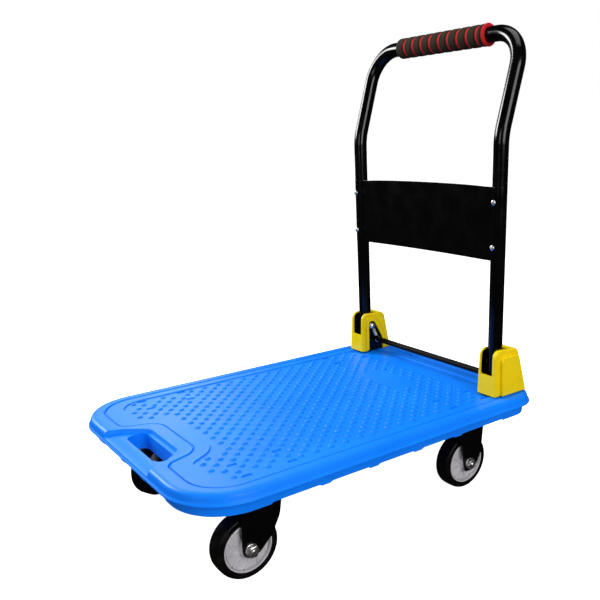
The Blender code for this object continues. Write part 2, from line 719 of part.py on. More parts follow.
def build_swivel_caster(side_name, side, materials):
    """Front caster: bolted plate with its race, king pin, swivelling cup and fork, wheel."""
    label = f"front_{side_name}"
    x, y = side * CASTER_X, -CASTER_Y
    plate = add_object(f"swivel_plate_{label}", top_plate(), materials["paint"], (x, y, 0))
    low = PLATE_TOP - PLATE_SHEET
    race = ((CROWN_TOP + 0.0015, 0.0066), (CROWN_TOP + 0.0015, 0.0170), (low + 0.001, 0.0190),
            (low + 0.001, 0.0066))
    boolean(plate, turned(race), "race", "UNION")
    boolean(plate, turned_bar(0.0058, low - 0.02, PLATE_TOP + 0.01), "pin_hole")
    pin = turned_bar(0.0055, CROWN_TOP - 0.0085, PLATE_TOP - 0.0002)
    pin_obj = add_object(f"king_pin_{label}", pin, materials["zinc"], (x, y, 0))
    boolean(pin_obj, turned_bar(0.0088, CROWN_TOP - 0.0090, CROWN_TOP - FORK_SHEET - 0.0004),
            "head", "UNION")
    swivel = add_empty(f"swivel_{label}", (x, y, 0), turn_z=REST_SWIVEL[side_name])
    cup = ((CROWN_TOP + GAP, 0.0198), (CROWN_TOP + GAP, 0.0270), (low - 0.0020, 0.0270),
           (low - 0.0008, 0.0245), (low - 0.0008, 0.0198))
    smooth(add_object(f"race_cup_{label}", turned(cup), materials["paint"], parent=swivel))
    fork = add_object(f"fork_{label}", fork_channel(CROWN_TOP, -0.060, 0.020), materials["paint"],
                      parent=swivel)
    boolean(fork, prism(swivel_fork_profile(), -0.04, 0.04), "sides", "INTERSECT")
    boolean(fork, turned_bar(0.0060, 0.10, 0.13), "pin_hole")
    axle_hole = rod(AXLE_RADIUS + GAP, -0.04, 0.04, (-TRAIL, WHEEL_RADIUS))
    boolean(fork, axle_hole, "axle_hole")
    build_axle(label, (0, -TRAIL, WHEEL_RADIUS), side, swivel, materials)
    build_wheel(label, (0, -TRAIL, WHEEL_RADIUS), swivel, materials)


def turned_bar(radius, low, high, sides=20):
    """A solid upright bar on the local Z axis."""
    return prism(arc((0, 0), radius, 0, 360 - 360 / sides, sides - 1), low, high, "Z")


def build_rigid_caster(label, side, materials):
    """Rear caster: plate and fork in one, wheel straight below."""
    x, y = side * CASTER_X, REAR_CASTER_Y
    fork = add_object(f"fork_{label}", fork_channel(PLATE_TOP, -0.040, 0.040), materials["paint"],
                      (x, y, 0))
    boolean(fork, prism(rigid_fork_profile(), -0.04, 0.04), "sides", "INTERSECT")
    boolean(fork, top_plate(), "plate", "UNION")
    boolean(fork, rod(AXLE_RADIUS + GAP, -0.04, 0.04, (0, WHEEL_RADIUS)), "axle_hole")
    build_axle(label, (x, y, WHEEL_RADIUS), side, None, materials)
    build_wheel(label, (x, y, WHEEL_RADIUS), None, materials)


def build_casters(materials):
    for label, side in SIDES:
        build_swivel_caster(label, side, materials)
        build_rigid_caster(f"rear_{label}", side, materials)


# ---------------------------------------------------------------- whole cart

def main():
    clear_scene()
    materials = make_materials()
    build_deck(materials)
    build_brackets(materials)
    build_release_bar(materials)
    build_handle(materials)
    build_casters(materials)


main()
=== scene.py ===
"""Folding platform cart: the looks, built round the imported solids.

Metres, +Z up, floor at z = 0. +Y is the handle end, -Y the end with the hand slot.
"""

import json
import math

import bmesh
import bpy
from mathutils import Matrix, Vector


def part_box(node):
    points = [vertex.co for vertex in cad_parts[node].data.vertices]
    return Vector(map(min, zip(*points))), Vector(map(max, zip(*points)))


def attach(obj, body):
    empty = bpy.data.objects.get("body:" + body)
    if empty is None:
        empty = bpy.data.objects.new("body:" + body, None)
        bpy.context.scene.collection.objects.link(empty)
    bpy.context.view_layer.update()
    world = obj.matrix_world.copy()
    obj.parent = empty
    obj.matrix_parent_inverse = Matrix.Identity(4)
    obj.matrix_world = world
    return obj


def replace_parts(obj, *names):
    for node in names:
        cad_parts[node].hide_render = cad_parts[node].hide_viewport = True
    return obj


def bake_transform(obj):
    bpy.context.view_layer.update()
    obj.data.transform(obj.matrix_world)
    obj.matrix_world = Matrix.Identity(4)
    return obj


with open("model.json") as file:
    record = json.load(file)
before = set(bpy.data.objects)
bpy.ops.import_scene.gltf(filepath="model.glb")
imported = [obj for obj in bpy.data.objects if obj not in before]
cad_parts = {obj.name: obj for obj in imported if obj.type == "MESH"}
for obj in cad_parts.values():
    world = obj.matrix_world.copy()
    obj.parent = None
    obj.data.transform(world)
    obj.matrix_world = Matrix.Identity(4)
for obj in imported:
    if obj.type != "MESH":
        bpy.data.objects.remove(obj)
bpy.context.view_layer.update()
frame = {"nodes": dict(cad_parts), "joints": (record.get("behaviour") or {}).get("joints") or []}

SIDES = (("left", -1), ("right", 1))

deck_low, deck_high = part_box("deck")
HALF_WIDTH = deck_high.x
HALF_LENGTH = deck_high.y
DECK_TOP = deck_high.z
DECK_FOOT = deck_low.z
LIP_Z = 0.152
LIP_SHEET = 0.0016
PANEL_Z = DECK_TOP - 0.0007
FIELD_Z = DECK_TOP - 0.0027
FRONT_CORNER = 0.097
REAR_CORNER = 0.056
CASTER_X = 0.170
CASTER_FRONT_Y = -0.200
CASTER_REAR_Y = 0.204

joints = {joint["name"]: joint for joint in frame["joints"]}
PIVOT = Vector(joints["handle_fold"]["pos_m"])
BAR_TRAVEL = Vector(joints["release_bar_travel"]["axis"])
PIPE_X = 0.187
PIPE_RADIUS = 0.0127
LEG_LEAN = math.radians(0.9)
BEND_ANGLE = math.radians(17.0)
BEND_HEIGHT = 0.388
BAR_HEIGHT = 0.556
CORNER_RADIUS = 0.058

FLAT_SIDE_ANGLE = 32
MERGE = 0.000001
NEAR = 0.0004


# ---------------------------------------------------------------- modelling helpers

def deselect():
    if bpy.context.mode != "OBJECT":
        bpy.ops.object.mode_set(mode="OBJECT")
    bpy.ops.object.select_all(action="DESELECT")


def take(obj):
    """Goes to object mode with this object alone selected and active."""
    deselect()
    obj.select_set(True)
    bpy.context.view_layer.objects.active = obj


def edit(obj):
    """Enters edit mode on the object, with all of it selected."""
    take(obj)
    bpy.ops.object.mode_set(mode="EDIT")
    bpy.ops.mesh.select_mode(type="VERT")
    bpy.ops.mesh.select_all(action="SELECT")


def done():
    bpy.ops.object.mode_set(mode="OBJECT")


def settle(name):
    """Names the new primitive and puts its place into its mesh."""
    obj = bpy.context.object
    obj.name = name
    obj.data.name = name
    bpy.ops.object.transform_apply(location=True, rotation=True, scale=True)
    return obj


def choose(kind, test):
    """In edit mode, selects faces by middle and normal, or edges and vertices by place."""
    bpy.ops.mesh.select_mode(type=kind)
    bpy.ops.mesh.select_all(action="DESELECT")
    mesh = bpy.context.object.data
    bm = bmesh.from_edit_mesh(mesh)
    if kind == "FACE":
        chosen = [f for f in bm.faces if test(f.calc_center_median(), f.normal)]
    elif kind == "EDGE":
        chosen = [e for e in bm.edges if test(e.verts[0].co, e.verts[1].co)]
    else:
        chosen = [v for v in bm.verts if test(v.co)]
    for part in chosen:
        part.select_set(True)
    bm.select_flush_mode()
    bmesh.update_edit_mesh(mesh)


def extrude(step):
    bpy.ops.mesh.extrude_region_move(TRANSFORM_OT_translate={"value": step})


def outward():
    """In edit mode, turns every face of the closed shape outwards."""
    bpy.ops.mesh.select_all(action="SELECT")
    bpy.ops.mesh.normals_make_consistent(inside=False)


def pull(step):
    """In edit mode, makes the flat outline a closed solid and leaves edit mode."""
    bpy.ops.mesh.select_all(action="SELECT")
    extrude(step)
    outward()
    done()


def step_in(profile):
    """Insets the selected face again and again: each step is (inwards, along the face normal)."""
    for thickness, depth in profile:
        bpy.ops.mesh.inset(thickness=thickness, depth=depth, use_even_offset=True)


def block(name, low, high):
    low, high = Vector(low), Vector(high)
    deselect()
    bpy.ops.mesh.primitive_cube_add(size=1, location=(low + high) / 2, scale=high - low)
    return settle(name)


def outline(name, points):
    """A filled flat outline: a disc with as many corners as it needs, each moved to its place."""
    deselect()
    bpy.ops.mesh.primitive_circle_add(vertices=len(points), fill_type="NGON")
    obj = settle(name)
    for vertex, place in zip(obj.data.vertices, points):
        vertex.co = place
    return obj


def round_corners(reach, segments, test=lambda place: True):
    """In edit mode, rounds the corners of a flat outline that pass the test."""
    choose("VERT", test)
    bpy.ops.mesh.bevel(offset=reach, segments=segments, affect="VERTICES", clamp_overlap=False)


def chain(name, points):
    """A line of joined vertices: a circle without fill, opened between its last and first."""
    deselect()
    bpy.ops.mesh.primitive_circle_add(vertices=len(points), fill_type="NOTHING")
    obj = settle(name)
    for vertex, place in zip(obj.data.vertices, points):
        vertex.co = place
    last = len(points) - 1
    bm = bmesh.new()
    bm.from_mesh(obj.data)
    seam = [e for e in bm.edges if {v.index for v in e.verts} == {0, last}]
    bmesh.ops.delete(bm, geom=seam, context="EDGES")
    bm.to_mesh(obj.data)
    bm.free()
    return obj


def wire(obj, radius, sides=12, caps=True):
    """Turns a chain into a round bar or tube."""
    take(obj)
    bpy.ops.object.convert(target="CURVE")
    curve = bpy.context.object
    curve.data.bevel_depth = radius
    curve.data.bevel_resolution = sides // 2 - 2
    curve.data.use_fill_caps = caps
    bpy.ops.object.convert(target="MESH")
    made = bpy.context.object
    edit(made)
    bpy.ops.mesh.remove_doubles(threshold=MERGE)
    outward()
    done()
    return made


TURN = {"X": (0, math.pi / 2, 0), "Y": (-math.pi / 2, 0, 0), "Z": (0, 0, 0)}
AXIS = {"X": Vector((1, 0, 0)), "Y": Vector((0, 1, 0)), "Z": Vector((0, 0, 1))}


def turned(name, axis, centre, profile, sides=32, closed=False):
    """A lathe shape: a circle that is extruded and resized along (along, radius) points."""
    middle, way = Vector(centre), AXIS[axis]
    first_along, first_radius = profile[0]
    deselect()
    bpy.ops.mesh.primitive_circle_add(vertices=sides, radius=first_radius,
                                      fill_type="NOTHING" if closed else "NGON",
                                      location=middle + way * first_along, rotation=TURN[axis])
    obj = settle(name)
    edit(obj)
    at, radius = first_along, first_radius
    for along, wanted in profile[1:]:
        bpy.ops.mesh.extrude_region_move(TRANSFORM_OT_translate={"value": way * (along - at)})
        scale = wanted / radius
        value = [1.0 if way[i] else scale for i in range(3)]
        bpy.ops.transform.resize(value=value, center_override=middle + way * along)
        at, radius = along, wanted
    bpy.ops.mesh.select_all(action="SELECT")
    bpy.ops.mesh.remove_doubles(threshold=MERGE)
    outward()
    done()
    return obj


def cut(obj, tool, operation="DIFFERENCE"):
    """Takes the tool out of the object, or joins or trims it, and uses the tool up."""
    take(obj)
    modifier = obj.modifiers.new("cut", "BOOLEAN")
    modifier.operation = operation
    modifier.solver = "EXACT"
    modifier.object = tool
    bpy.ops.object.modifier_apply(modifier=modifier.name)
    bpy.data.objects.remove(tool, do_unlink=True)
    return obj


def soften(obj, width, segments=2, angle=30):
    """Rounds every edge sharper than the angle."""
    take(obj)
    modifier = obj.modifiers.new("edges", "BEVEL")
    modifier.width = width
    modifier.segments = segments
    modifier.limit_method = "ANGLE"
    modifier.angle_limit = math.radians(angle)
    bpy.ops.object.modifier_apply(modifier=modifier.name)
    return obj


def thicken(obj, name, thickness, offset):
    """Gives an open sheet or tube its wall."""
    take(obj)
    modifier = obj.modifiers.new(name, "SOLIDIFY")
    modifier.thickness = thickness
    modifier.offset = offset
    bpy.ops.object.modifier_apply(modifier=modifier.name)


def side_outline(name, x, points, corners):
    """A flat outline seen from the side, given as (y, z) points, with some corners rounded.

    It stays in edit mode.
    """
    obj = outline(name, [(x, y, z) for y, z in points])
    edit(obj)
    for (y, z), reach in corners:
        round_corners(reach, 6, lambda place: math.hypot(place.y - y, place.z - z) < NEAR)
    return obj


def joined(name, parts):
    take(parts[0])
    for part in parts[1:]:
        part.select_set(True)
    if len(parts) > 1:
        bpy.ops.object.join()
    parts[0].name = name
    parts[0].data.name = name
    return parts[0]


def copy_of(obj, name, matrix=Matrix.Identity(4)):
    """A copy with its own mesh, moved or turned by the matrix."""
    mesh = obj.data.copy()
    mesh.transform(matrix)
    mesh.name = name
    made = bpy.data.objects.new(name, mesh)
    bpy.context.scene.collection.objects.link(made)
    if matrix.determinant() < 0:
        mesh.flip_normals()
    return made


def round_array(obj, name, axis, centre, count):
    """The piece and its copies, evenly round an axis."""
    place = Matrix.Translation(centre)
    parts = [obj]
    for i in range(1, count):
        turn = place @ Matrix.Rotation(math.tau * i / count, 4, axis) @ place.inverted()
        parts.append(copy_of(obj, f"{name}_{i}", turn))
    return joined(name, parts)


MIRROR = Matrix.Scale(-1, 4, (1, 0, 0))


def dress(obj, body, material, angle=FLAT_SIDE_ANGLE):
    """Shades the finished piece, gives it its material and fixes it to its body."""
    edit(obj)
    bpy.ops.mesh.remove_doubles(threshold=2 * MERGE)
    outward()
    done()
    bpy.ops.object.shade_smooth_by_angle(angle=math.radians(angle))
    modifier = obj.modifiers.new("flats", "WEIGHTED_NORMAL")
    modifier.keep_sharp = True
    bpy.ops.object.modifier_apply(modifier=modifier.name)
    obj.data.materials.clear()
    obj.data.materials.append(material)
    if body:
        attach(obj, body)
    return obj


# ---------------------------------------------------------------- materials

class Value:
    """A number or colour socket. Arithmetic on it adds Math nodes."""

    def __init__(self, finish, socket):
        self.finish = finish
        self.socket = socket

    def maths(self, operation, other):
        return self.finish.node("ShaderNodeMath", {"operation": operation}, {0: self, 1: other})

    def __add__(self, other):
        return self.maths("ADD", other)

    def __mul__(self, other):
        return self.maths("MULTIPLY", other)

    __radd__ = __add__
    __rmul__ = __mul__


class Finish:
    """One surface finish: a Principled shader and the nodes that feed it."""

    def __init__(self, name, colour, roughness, **constants):
        self.material = bpy.data.materials.new(name)
        self.material.use_nodes = True
        self.tree = self.material.node_tree
        self.shader = self.tree.nodes["Principled BSDF"]
        self.material.diffuse_color = (*colour, 1)
        self.shader.inputs["Base Color"].default_value = (*colour, 1)
        self.shader.inputs["Roughness"].default_value = roughness
        for label, value in constants.items():
            self.shader.inputs[label.replace("_", " ")].default_value = value
        self.place = self.node("ShaderNodeTexCoord", {}, {}, "Object")

    def node(self, kind, settings, sockets, output=0):
        made = self.tree.nodes.new(kind)
        for label, value in settings.items():
            setattr(made, label, value)
        for label, value in sockets.items():
            if isinstance(value, Value):
                self.tree.links.new(value.socket, made.inputs[label])
            else:
                made.inputs[label].default_value = value
        return Value(self, made.outputs[output])

    def noise(self, scale, detail, roughness=0.5, stretch=(1, 1, 1)):
        place = self.node("ShaderNodeMapping", {}, {"Vector": self.place, "Scale": stretch})
        return self.node("ShaderNodeTexNoise", {}, {"Vector": place, "Scale": scale,
                                                    "Detail": detail, "Roughness": roughness})

    def cells(self, scale):
        return self.node("ShaderNodeTexVoronoi", {}, {"Vector": self.place, "Scale": scale})

    def spread(self, value, low, high):
        """The value stretched so that low becomes 0 and high becomes 1."""
        return self.node("ShaderNodeMapRange", {},
                         {"Value": value, "From Min": low, "From Max": high})

    def blend(self, factor, first, second):
        return self.node("ShaderNodeMix", {"data_type": "RGBA"},
                         {0: factor, 6: self.colour(first), 7: self.colour(second)}, 2)

    @staticmethod
    def colour(value):
        return value if isinstance(value, Value) else (*value, 1)

    def feed(self, label, value):
        self.tree.links.new(value.socket, self.shader.inputs[label])

    def bump(self, height, distance, strength):
        self.feed("Normal", self.node("ShaderNodeBump", {},
                                      {"Height": height, "Distance": distance,
                                       "Strength": strength}))


def moulded_blue():
    """Polypropylene with a fine moulded grain, faint flow clouds and a few rubbed spots."""
    finish = Finish("moulded_blue", (0.0004, 0.195, 0.930), 0.42, Specular_IOR_Level=0.15)
    clouds = finish.spread(finish.noise(9, 4), 0.35, 0.65)
    rubbed = finish.spread(finish.noise(38, 6, 0.7), 0.60, 0.74)
    tone = finish.blend(clouds, (0.0003, 0.186, 0.900), (0.0006, 0.208, 0.950))
    tone = finish.blend(rubbed * 0.12, tone, (0.012, 0.260, 0.960))
    finish.feed("Base Color", tone)
    finish.feed("Roughness", 0.39 + clouds * 0.06 + rubbed * 0.08)
    grain = finish.cells(900) * 0.6 + finish.noise(600, 2) * 0.6
    finish.bump(grain + finish.noise(28, 2) * 0.9, 0.00016, 0.55)
    return finish.material


def gloss_yellow():
    """Glossy injection-moulded plastic with slight sink waves and handling marks."""
    finish = Finish("gloss_yellow", (0.82, 0.59, 0.002), 0.30, Specular_IOR_Level=0.28)
    clouds = finish.spread(finish.noise(40, 3), 0.35, 0.65)
    scuffs = finish.spread(finish.noise(120, 6, 0.75, (1, 1, 0.35)), 0.62, 0.74)
    tone = finish.blend(clouds, (0.800, 0.570, 0.001), (0.840, 0.615, 0.003))
    tone = finish.blend(scuffs * 0.15, tone, (0.68, 0.47, 0.01))
    finish.feed("Base Color", tone)
    finish.feed("Roughness", 0.27 + clouds * 0.06 + scuffs * 0.16)
    finish.bump(finish.noise(95, 2) * 0.8 + finish.noise(900, 2) * 0.2, 0.00012, 0.5)
    return finish.material


def gloss_black_paint():
    """Black powder coat: a glossy skin with orange peel and a few dull specks."""
    finish = Finish("gloss_black_paint", (0.0012, 0.0009, 0.0007), 0.16, Specular_IOR_Level=0.26)
    clouds = finish.spread(finish.noise(30, 3), 0.35, 0.65)
    specks = finish.spread(finish.cells(420), 0.10, 0.04)
    tone = finish.blend(clouds, (0.0008, 0.0007, 0.0006), (0.0016, 0.0012, 0.0010))
    finish.feed("Base Color", finish.blend(specks * 0.5, tone, (0.008, 0.007, 0.006)))
    finish.feed("Roughness", 0.13 + clouds * 0.07 + specks * 0.2)
    finish.bump(finish.noise(260, 3) + finish.noise(60, 2) * 0.8, 0.00010, 0.45)
    return finish.material


def zinc_plate():
    """Bright zinc plate with a faint crystalline mottle and fine scratches."""
    finish = Finish("zinc_plate", (0.62, 0.61, 0.59), 0.30, Metallic=1.0)
    mottle = finish.spread(finish.cells(260), 0.1, 0.7)
    scratch = finish.spread(finish.noise(500, 4, 0.6, (0.15, 1, 1)), 0.40, 0.70)
    finish.feed("Base Color", finish.blend(mottle, (0.52, 0.51, 0.50), (0.74, 0.73, 0.70)))
    finish.feed("Roughness", 0.24 + mottle * 0.10 + scratch * 0.14)
    finish.bump(scratch * 0.6 + finish.noise(300, 2) * 0.5, 0.00006, 0.5)
    return finish.material


def closed_cell_foam(name, dark, light):
    """Closed-cell foam: a soft skin full of fine open pores."""
    finish = Finish(name, dark, 0.88, Specular_IOR_Level=0.25)
    pores = finish.spread(finish.cells(1400), 0.0, 0.45)
    skin = finish.spread(finish.noise(240, 4, 0.6), 0.35, 0.65)
    finish.feed("Base Color", finish.blend(skin, dark, light))
    finish.feed("Roughness", 0.80 + skin * 0.12)
    finish.bump(pores * 0.9 + skin * 0.5, 0.00022, 0.75)
    return finish.material


def wheel_rubber():
    """Solid rubber: nearly black, dusty in patches, with a fine pebbled skin."""
    finish = Finish("wheel_rubber", (0.002, 0.0017, 0.0014), 0.55, Specular_IOR_Level=0.14)
    dust = finish.spread(finish.noise(60, 5, 0.65), 0.50, 0.75)
    finish.feed("Base Color", finish.blend(dust * 0.6, (0.0016, 0.0013, 0.0011),
                                           (0.012, 0.010, 0.0075)))
    finish.feed("Roughness", 0.42 + dust * 0.30)
    finish.bump(finish.noise(420, 3) * 0.7 + finish.cells(700) * 0.3, 0.00014, 0.6)
    return finish.material


def grey_nylon():
    """Grey moulded rim with a satin skin and faint flow lines."""
    finish = Finish("grey_nylon", (0.48, 0.46, 0.48), 0.42)
    flow = finish.spread(finish.noise(45, 4, 0.6), 0.35, 0.68)
    stain = finish.spread(finish.noise(130, 5, 0.7), 0.58, 0.75)
    tone = finish.blend(flow, (0.450, 0.435, 0.465), (0.560, 0.540, 0.565))
    finish.feed("Base Color", finish.blend(stain * 0.35, tone, (0.30, 0.27, 0.24)))
    finish.feed("Roughness", 0.36 + flow * 0.12 + stain * 0.12)
    finish.bump(finish.noise(500, 3) * 0.6 + finish.noise(70, 2), 0.00010, 0.5)
    return finish.material


def ribbed_rubber():
    """Rough rubber hose over the foot bar."""
    finish = Finish("ribbed_rubber", (0.003, 0.0024, 0.0018), 0.72, Specular_IOR_Level=0.10)
    lumps = finish.noise(520, 4, 0.7)
    dust = finish.spread(finish.noise(200, 4, 0.7), 0.55, 0.75)
    finish.feed("Base Color", finish.blend(dust * 0.5, (0.0024, 0.0020, 0.0016),
                                           (0.020, 0.015, 0.010)))
    finish.feed("Roughness", 0.62 + dust * 0.2)
    finish.bump(lumps, 0.0004, 0.8)
    return finish.material


def pale_floor():
    """White paper sweep, bright enough to need no light of its own."""
    finish = Finish("pale_floor", (0.90, 0.90, 0.90), 0.60, Emission_Color=(1, 1, 1, 1),
                    Emission_Strength=0.93)
    finish.feed("Roughness", 0.55 + finish.noise(3, 3) * 0.1)
    return finish.material


BLUE = moulded_blue()
YELLOW = gloss_yellow()
PAINT = gloss_black_paint()
ZINC = zinc_plate()
FOAM = closed_cell_foam("black_foam", (0.012, 0.0070, 0.0012), (0.022, 0.0130, 0.0026))
RED_FOAM = closed_cell_foam("red_foam", (0.420, 0.004, 0.006), (0.560, 0.010, 0.014))
RUBBER = wheel_rubber()
NYLON = grey_nylon()
HOSE = ribbed_rubber()


# ---------------------------------------------------------------- deck

def across(points):
    """Right-hand points of an outline, then their mirror images, as one closed run."""
    return points + [(-x, y, z) for x, y, z in reversed(points)]


def deck_body():
    """The outer shell: lip, flared rim wall, round crest, and a hollow skirt below."""
    x, y, z = HALF_WIDTH, HALF_LENGTH, LIP_Z - LIP_SHEET
    shell = outline("deck_shell", across([(x, -y, z), (x, y, z)]))
    edit(shell)
    round_corners(FRONT_CORNER, 16, lambda place: place.y < 0)
    round_corners(REAR_CORNER, 12, lambda place: place.y > HALF_LENGTH - 0.001)
    bpy.ops.mesh.select_all(action="SELECT")
    extrude((0, 0, LIP_SHEET))
    step_in(((0.0006, 0.0010), (0.0014, 0.0011), (0.0010, 0.0018), (0.0007, 0.0032),
             (0.0010, 0.0032), (0.0013, 0.0022), (0.0020, 0.0016), (0.0030, 0.0008),
             (0.0040, 0.0001)))
    choose("FACE", lambda middle, normal: normal.z < -0.9 and middle.z < LIP_Z - 0.001)
    drop = z - DECK_FOOT
    step_in(((0.0008, 0.0005), (0.0096, 0.0004), (0.0008, 0.0020), (0.0012, drop - 0.0034),
             (0.0006, 0.0005), (0.0020, 0.0), (0.0006, -0.0005), (0.0006, -0.0315)))
    done()
    return shell


TOOL_DEPTH = 0.004


def sunk_outline(name, points, corners, z, profile):
    """A cutting tool: an outline at height z, carried down, and a stepped profile below it."""
    tool = outline(name, across([(x, y, z) for x, y in points]))
    edit(tool)
    for (x, y), reach, segments in corners:
        round_corners(reach, segments,
                      lambda place: math.hypot(abs(place.x) - x, place.y - y) < NEAR)
    pull((0, 0, -TOOL_DEPTH))
    edit(tool)
    choose("FACE", lambda middle, normal: normal.z < -0.9)
    step_in(profile)
    done()
    return tool


def panel_tool():
    """Takes out the groove that follows the rim and skirts the hand slot, and the panel in it."""
    points = [(0.0703, -0.2555), (0.0900, -0.3145), (0.2170, -0.3145), (0.2170, 0.3195)]
    corners = ((points[0], 0.020, 8), (points[1], 0.015, 6), (points[2], 0.064, 14),
               (points[3], 0.032, 10))
    profile = ((0.0004, 0.0004), (0.0004, 0.0013), (0.0005, 0.0013), (0.0006, 0.0003),
               (0.0009, 0.0), (0.0006, -0.0003), (0.0005, -0.0016), (0.0005, -0.0007))
    return sunk_outline("panel", points, corners, DECK_TOP + TOOL_DEPTH, profile)


def field_tool():
    """Takes out the shallow field that carries the anti-slip domes."""
    points = [(0.0794, -0.2295), (0.1083, -0.2815), (0.1980, -0.2815), (0.1980, 0.2960)]
    corners = ((points[0], 0.026, 8), (points[1], 0.009, 5), (points[2], 0.045, 12),
               (points[3], 0.014, 6))
    profile = ((0.0003, 0.0003), (0.0004, 0.0014), (0.0005, 0.0003))
    return sunk_outline("field", points, corners, PANEL_Z + TOOL_DEPTH, profile)


FIRST_FALL = (-0.3215, 0.10)
SECOND_FALL = (-0.3330, 0.20)


def recess_tool():
    """The hand recess, with soft lips, and a floor that falls away towards the front lip."""
    points = [(0.0525, -0.2735), (0.0840, -0.3125), (0.0985, -0.3560)]
    corners = ((points[0], 0.010, 6), (points[1], 0.010, 5))
    profile = ((0.0010, 0.0003), (0.0009, 0.0008), (0.0006, 0.0014), (0.0014, 0.0032),
               (0.0008, 0.0010), (0.0014, 0.0005))
    tool = sunk_outline("recess", points, corners, DECK_TOP + TOOL_DEPTH, profile)
    edit(tool)
    for start, _ in (FIRST_FALL, SECOND_FALL):
        bpy.ops.mesh.select_all(action="SELECT")
        bpy.ops.mesh.bisect(plane_co=(0, start, 0), plane_no=(0, 1, 0))
    done()
    for vertex in tool.data.vertices:
        if vertex.co.z < DECK_TOP - 0.001:
            vertex.co.z -= sum(slope * max(0.0, start - vertex.co.y)
                               for start, slope in (FIRST_FALL, SECOND_FALL))
    return tool


def slot_tool():
    """The hand slot, right through the deck."""
    x, front, rear = 0.062, -0.3165, -0.2835
    tool = outline("slot", across([(x, front, DECK_TOP), (x, rear, DECK_TOP)]))
    edit(tool)
    round_corners(0.0135, 8)
    pull((0, 0, -0.05))
    return tool


def caster_bolt_places():
    for centre_y in (CASTER_FRONT_Y, CASTER_REAR_Y):
        for side in (-1, 1):
            for dx in (-0.022, 0.022):
                for dy in (-0.0375, 0.0375):
                    yield side * CASTER_X + dx, centre_y + dy


def pocket_tool():
    """Oblong wells over the caster bolts."""
    corners = [(0.0056, -0.0090), (0.0056, 0.0090)]
    first = sunk_outline("well", corners, [(corner, 0.0050, 5) for corner in corners],
                         DECK_TOP + 0.0024, ((0.0007, 0.0008), (0.0004, 0.0020),
                                             (0.0006, 0.0004)))
    wells = [copy_of(first, "well", Matrix.Translation((x, y, 0)))
             for x, y in caster_bolt_places()]
    bpy.data.objects.remove(first, do_unlink=True)
    return joined("wells", wells)


def skirt_notches():
    """Shallow arches along the foot of the skirt, with soft shoulders."""
    depth, reach = 0.0028, 0.012
    x, y = HALF_WIDTH - 0.014, HALF_LENGTH - 0.014
    along_y = ((-0.225, -0.135), (-0.125, -0.045), (-0.035, 0.045), (0.055, 0.135),
               (0.145, 0.255))
    along_x = ((-0.130, -0.045), (-0.035, 0.035), (0.045, 0.130))
    spans = [((side * x - reach, low), (side * x + reach, high), 0)
             for side in (-1, 1) for low, high in along_y]
    spans += [((low, side * y - reach), (high, side * y + reach), 1)
              for side in (-1, 1) for low, high in along_x]
    notches = []
    for low, high, cross in spans:
        notch = block("notch", (*low, DECK_FOOT - 0.006), (*high, DECK_FOOT + depth))
        edit(notch)
        choose("EDGE", lambda a, b: min(a.z, b.z) > DECK_FOOT and abs(a[cross] - b[cross]) > 0.001)
        bpy.ops.mesh.bevel(offset=0.0085, segments=5, affect="EDGES")
        done()
        notches.append(notch)
    return joined("notches", notches)


def build_deck():
    shell = deck_body()
    cut(shell, block("tray", (-0.104, -0.3310, 0.1505), (0.104, -0.2620, 0.1630)), "UNION")
    cut(shell, block("slot_collar", (-0.070, -0.3260, DECK_FOOT + 0.004),
                     (0.070, -0.2755, 0.1520)), "UNION")
    for tool in (panel_tool(), field_tool(), recess_tool(), slot_tool()):
        cut(shell, tool)
    cut(shell, pocket_tool())
    cut(shell, skirt_notches())
    dress(shell, "deck", BLUE, 28)
    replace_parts(shell, "deck")


RIB_HALF = 0.0011
RIB_PITCH = 0.0375


def build_ribs():
    """The grid of ribs under the deck, with bosses over casters and brackets."""
    top = DECK_TOP - 0.0045
    foot = DECK_FOOT + 0.0012
    x_edge, y_edge = HALF_WIDTH - 0.0145, HALF_LENGTH - 0.0145
    ribs = []

    def rib_along(x, low, high):
        ribs.append(block("rib", (x - RIB_HALF, low, foot), (x + RIB_HALF, high, top)))

    def rib_across(y, low, high):
        ribs.append(block("rib", (low, y - RIB_HALF, foot), (high, y + RIB_HALF, top)))

    def boss(side, inner, outer, low, high, z):
        near, far = sorted((side * inner, side * outer))
        ribs.append(block("boss", (near, low, z), (far, high, top)))

    for x in (-0.130, -0.097, -0.064, -0.032, 0.0, 0.032, 0.064, 0.097, 0.130):
        rib_along(x, -0.262 if abs(x) < 0.072 else -y_edge, y_edge)
    for x in (-0.206, 0.206):
        rib_along(x, -0.270, y_edge - 0.028)
    for i in range(-7, 8):
        reach = x_edge if i > -7 else x_edge - 0.003
        rib_across(i * RIB_PITCH, -reach, reach)
    for side in (-1, 1):
        rib_across(-0.300, *sorted((side * 0.074, side * (x_edge - 0.023))))
    rib_across(0.300, 0.012 - x_edge, x_edge - 0.012)
    for side in (-1, 1):
        for y in (CASTER_FRONT_Y, CASTER_REAR_Y):
            boss(side, 0.132, 0.204, y - 0.050, y + 0.050, DECK_FOOT)
        boss(side, 0.168, 0.206, 0.262, 0.318, DECK_FOOT + 0.001)
    for rib in ribs:
        soften(rib, 0.0005, 1)
    dress(joined("deck_ribs", ribs), "deck", BLUE)


DOME_X = 0.0265
DOME_Y = 0.01375
DOME_START = -0.0763


def dome_allowed(x, y):
    """True for a lattice place inside the field, off the blank panel and off the bolt wells."""
    if abs(x) > 0.1880 or not -0.2700 < y < 0.2420:
        return False
    if y < -0.2180 and abs(x) < 0.0880 + 0.556 * (-0.2295 - y):
        return False
    if abs(x) < 0.0640 and 0.1550 < y < 0.2050:
        return False
    if abs(x) > 0.1550 and y < -0.2610:
        return False
    return all(math.hypot((x - u) / 0.011, (y - v) / 0.0135) > 1
               for u, v in caster_bolt_places())


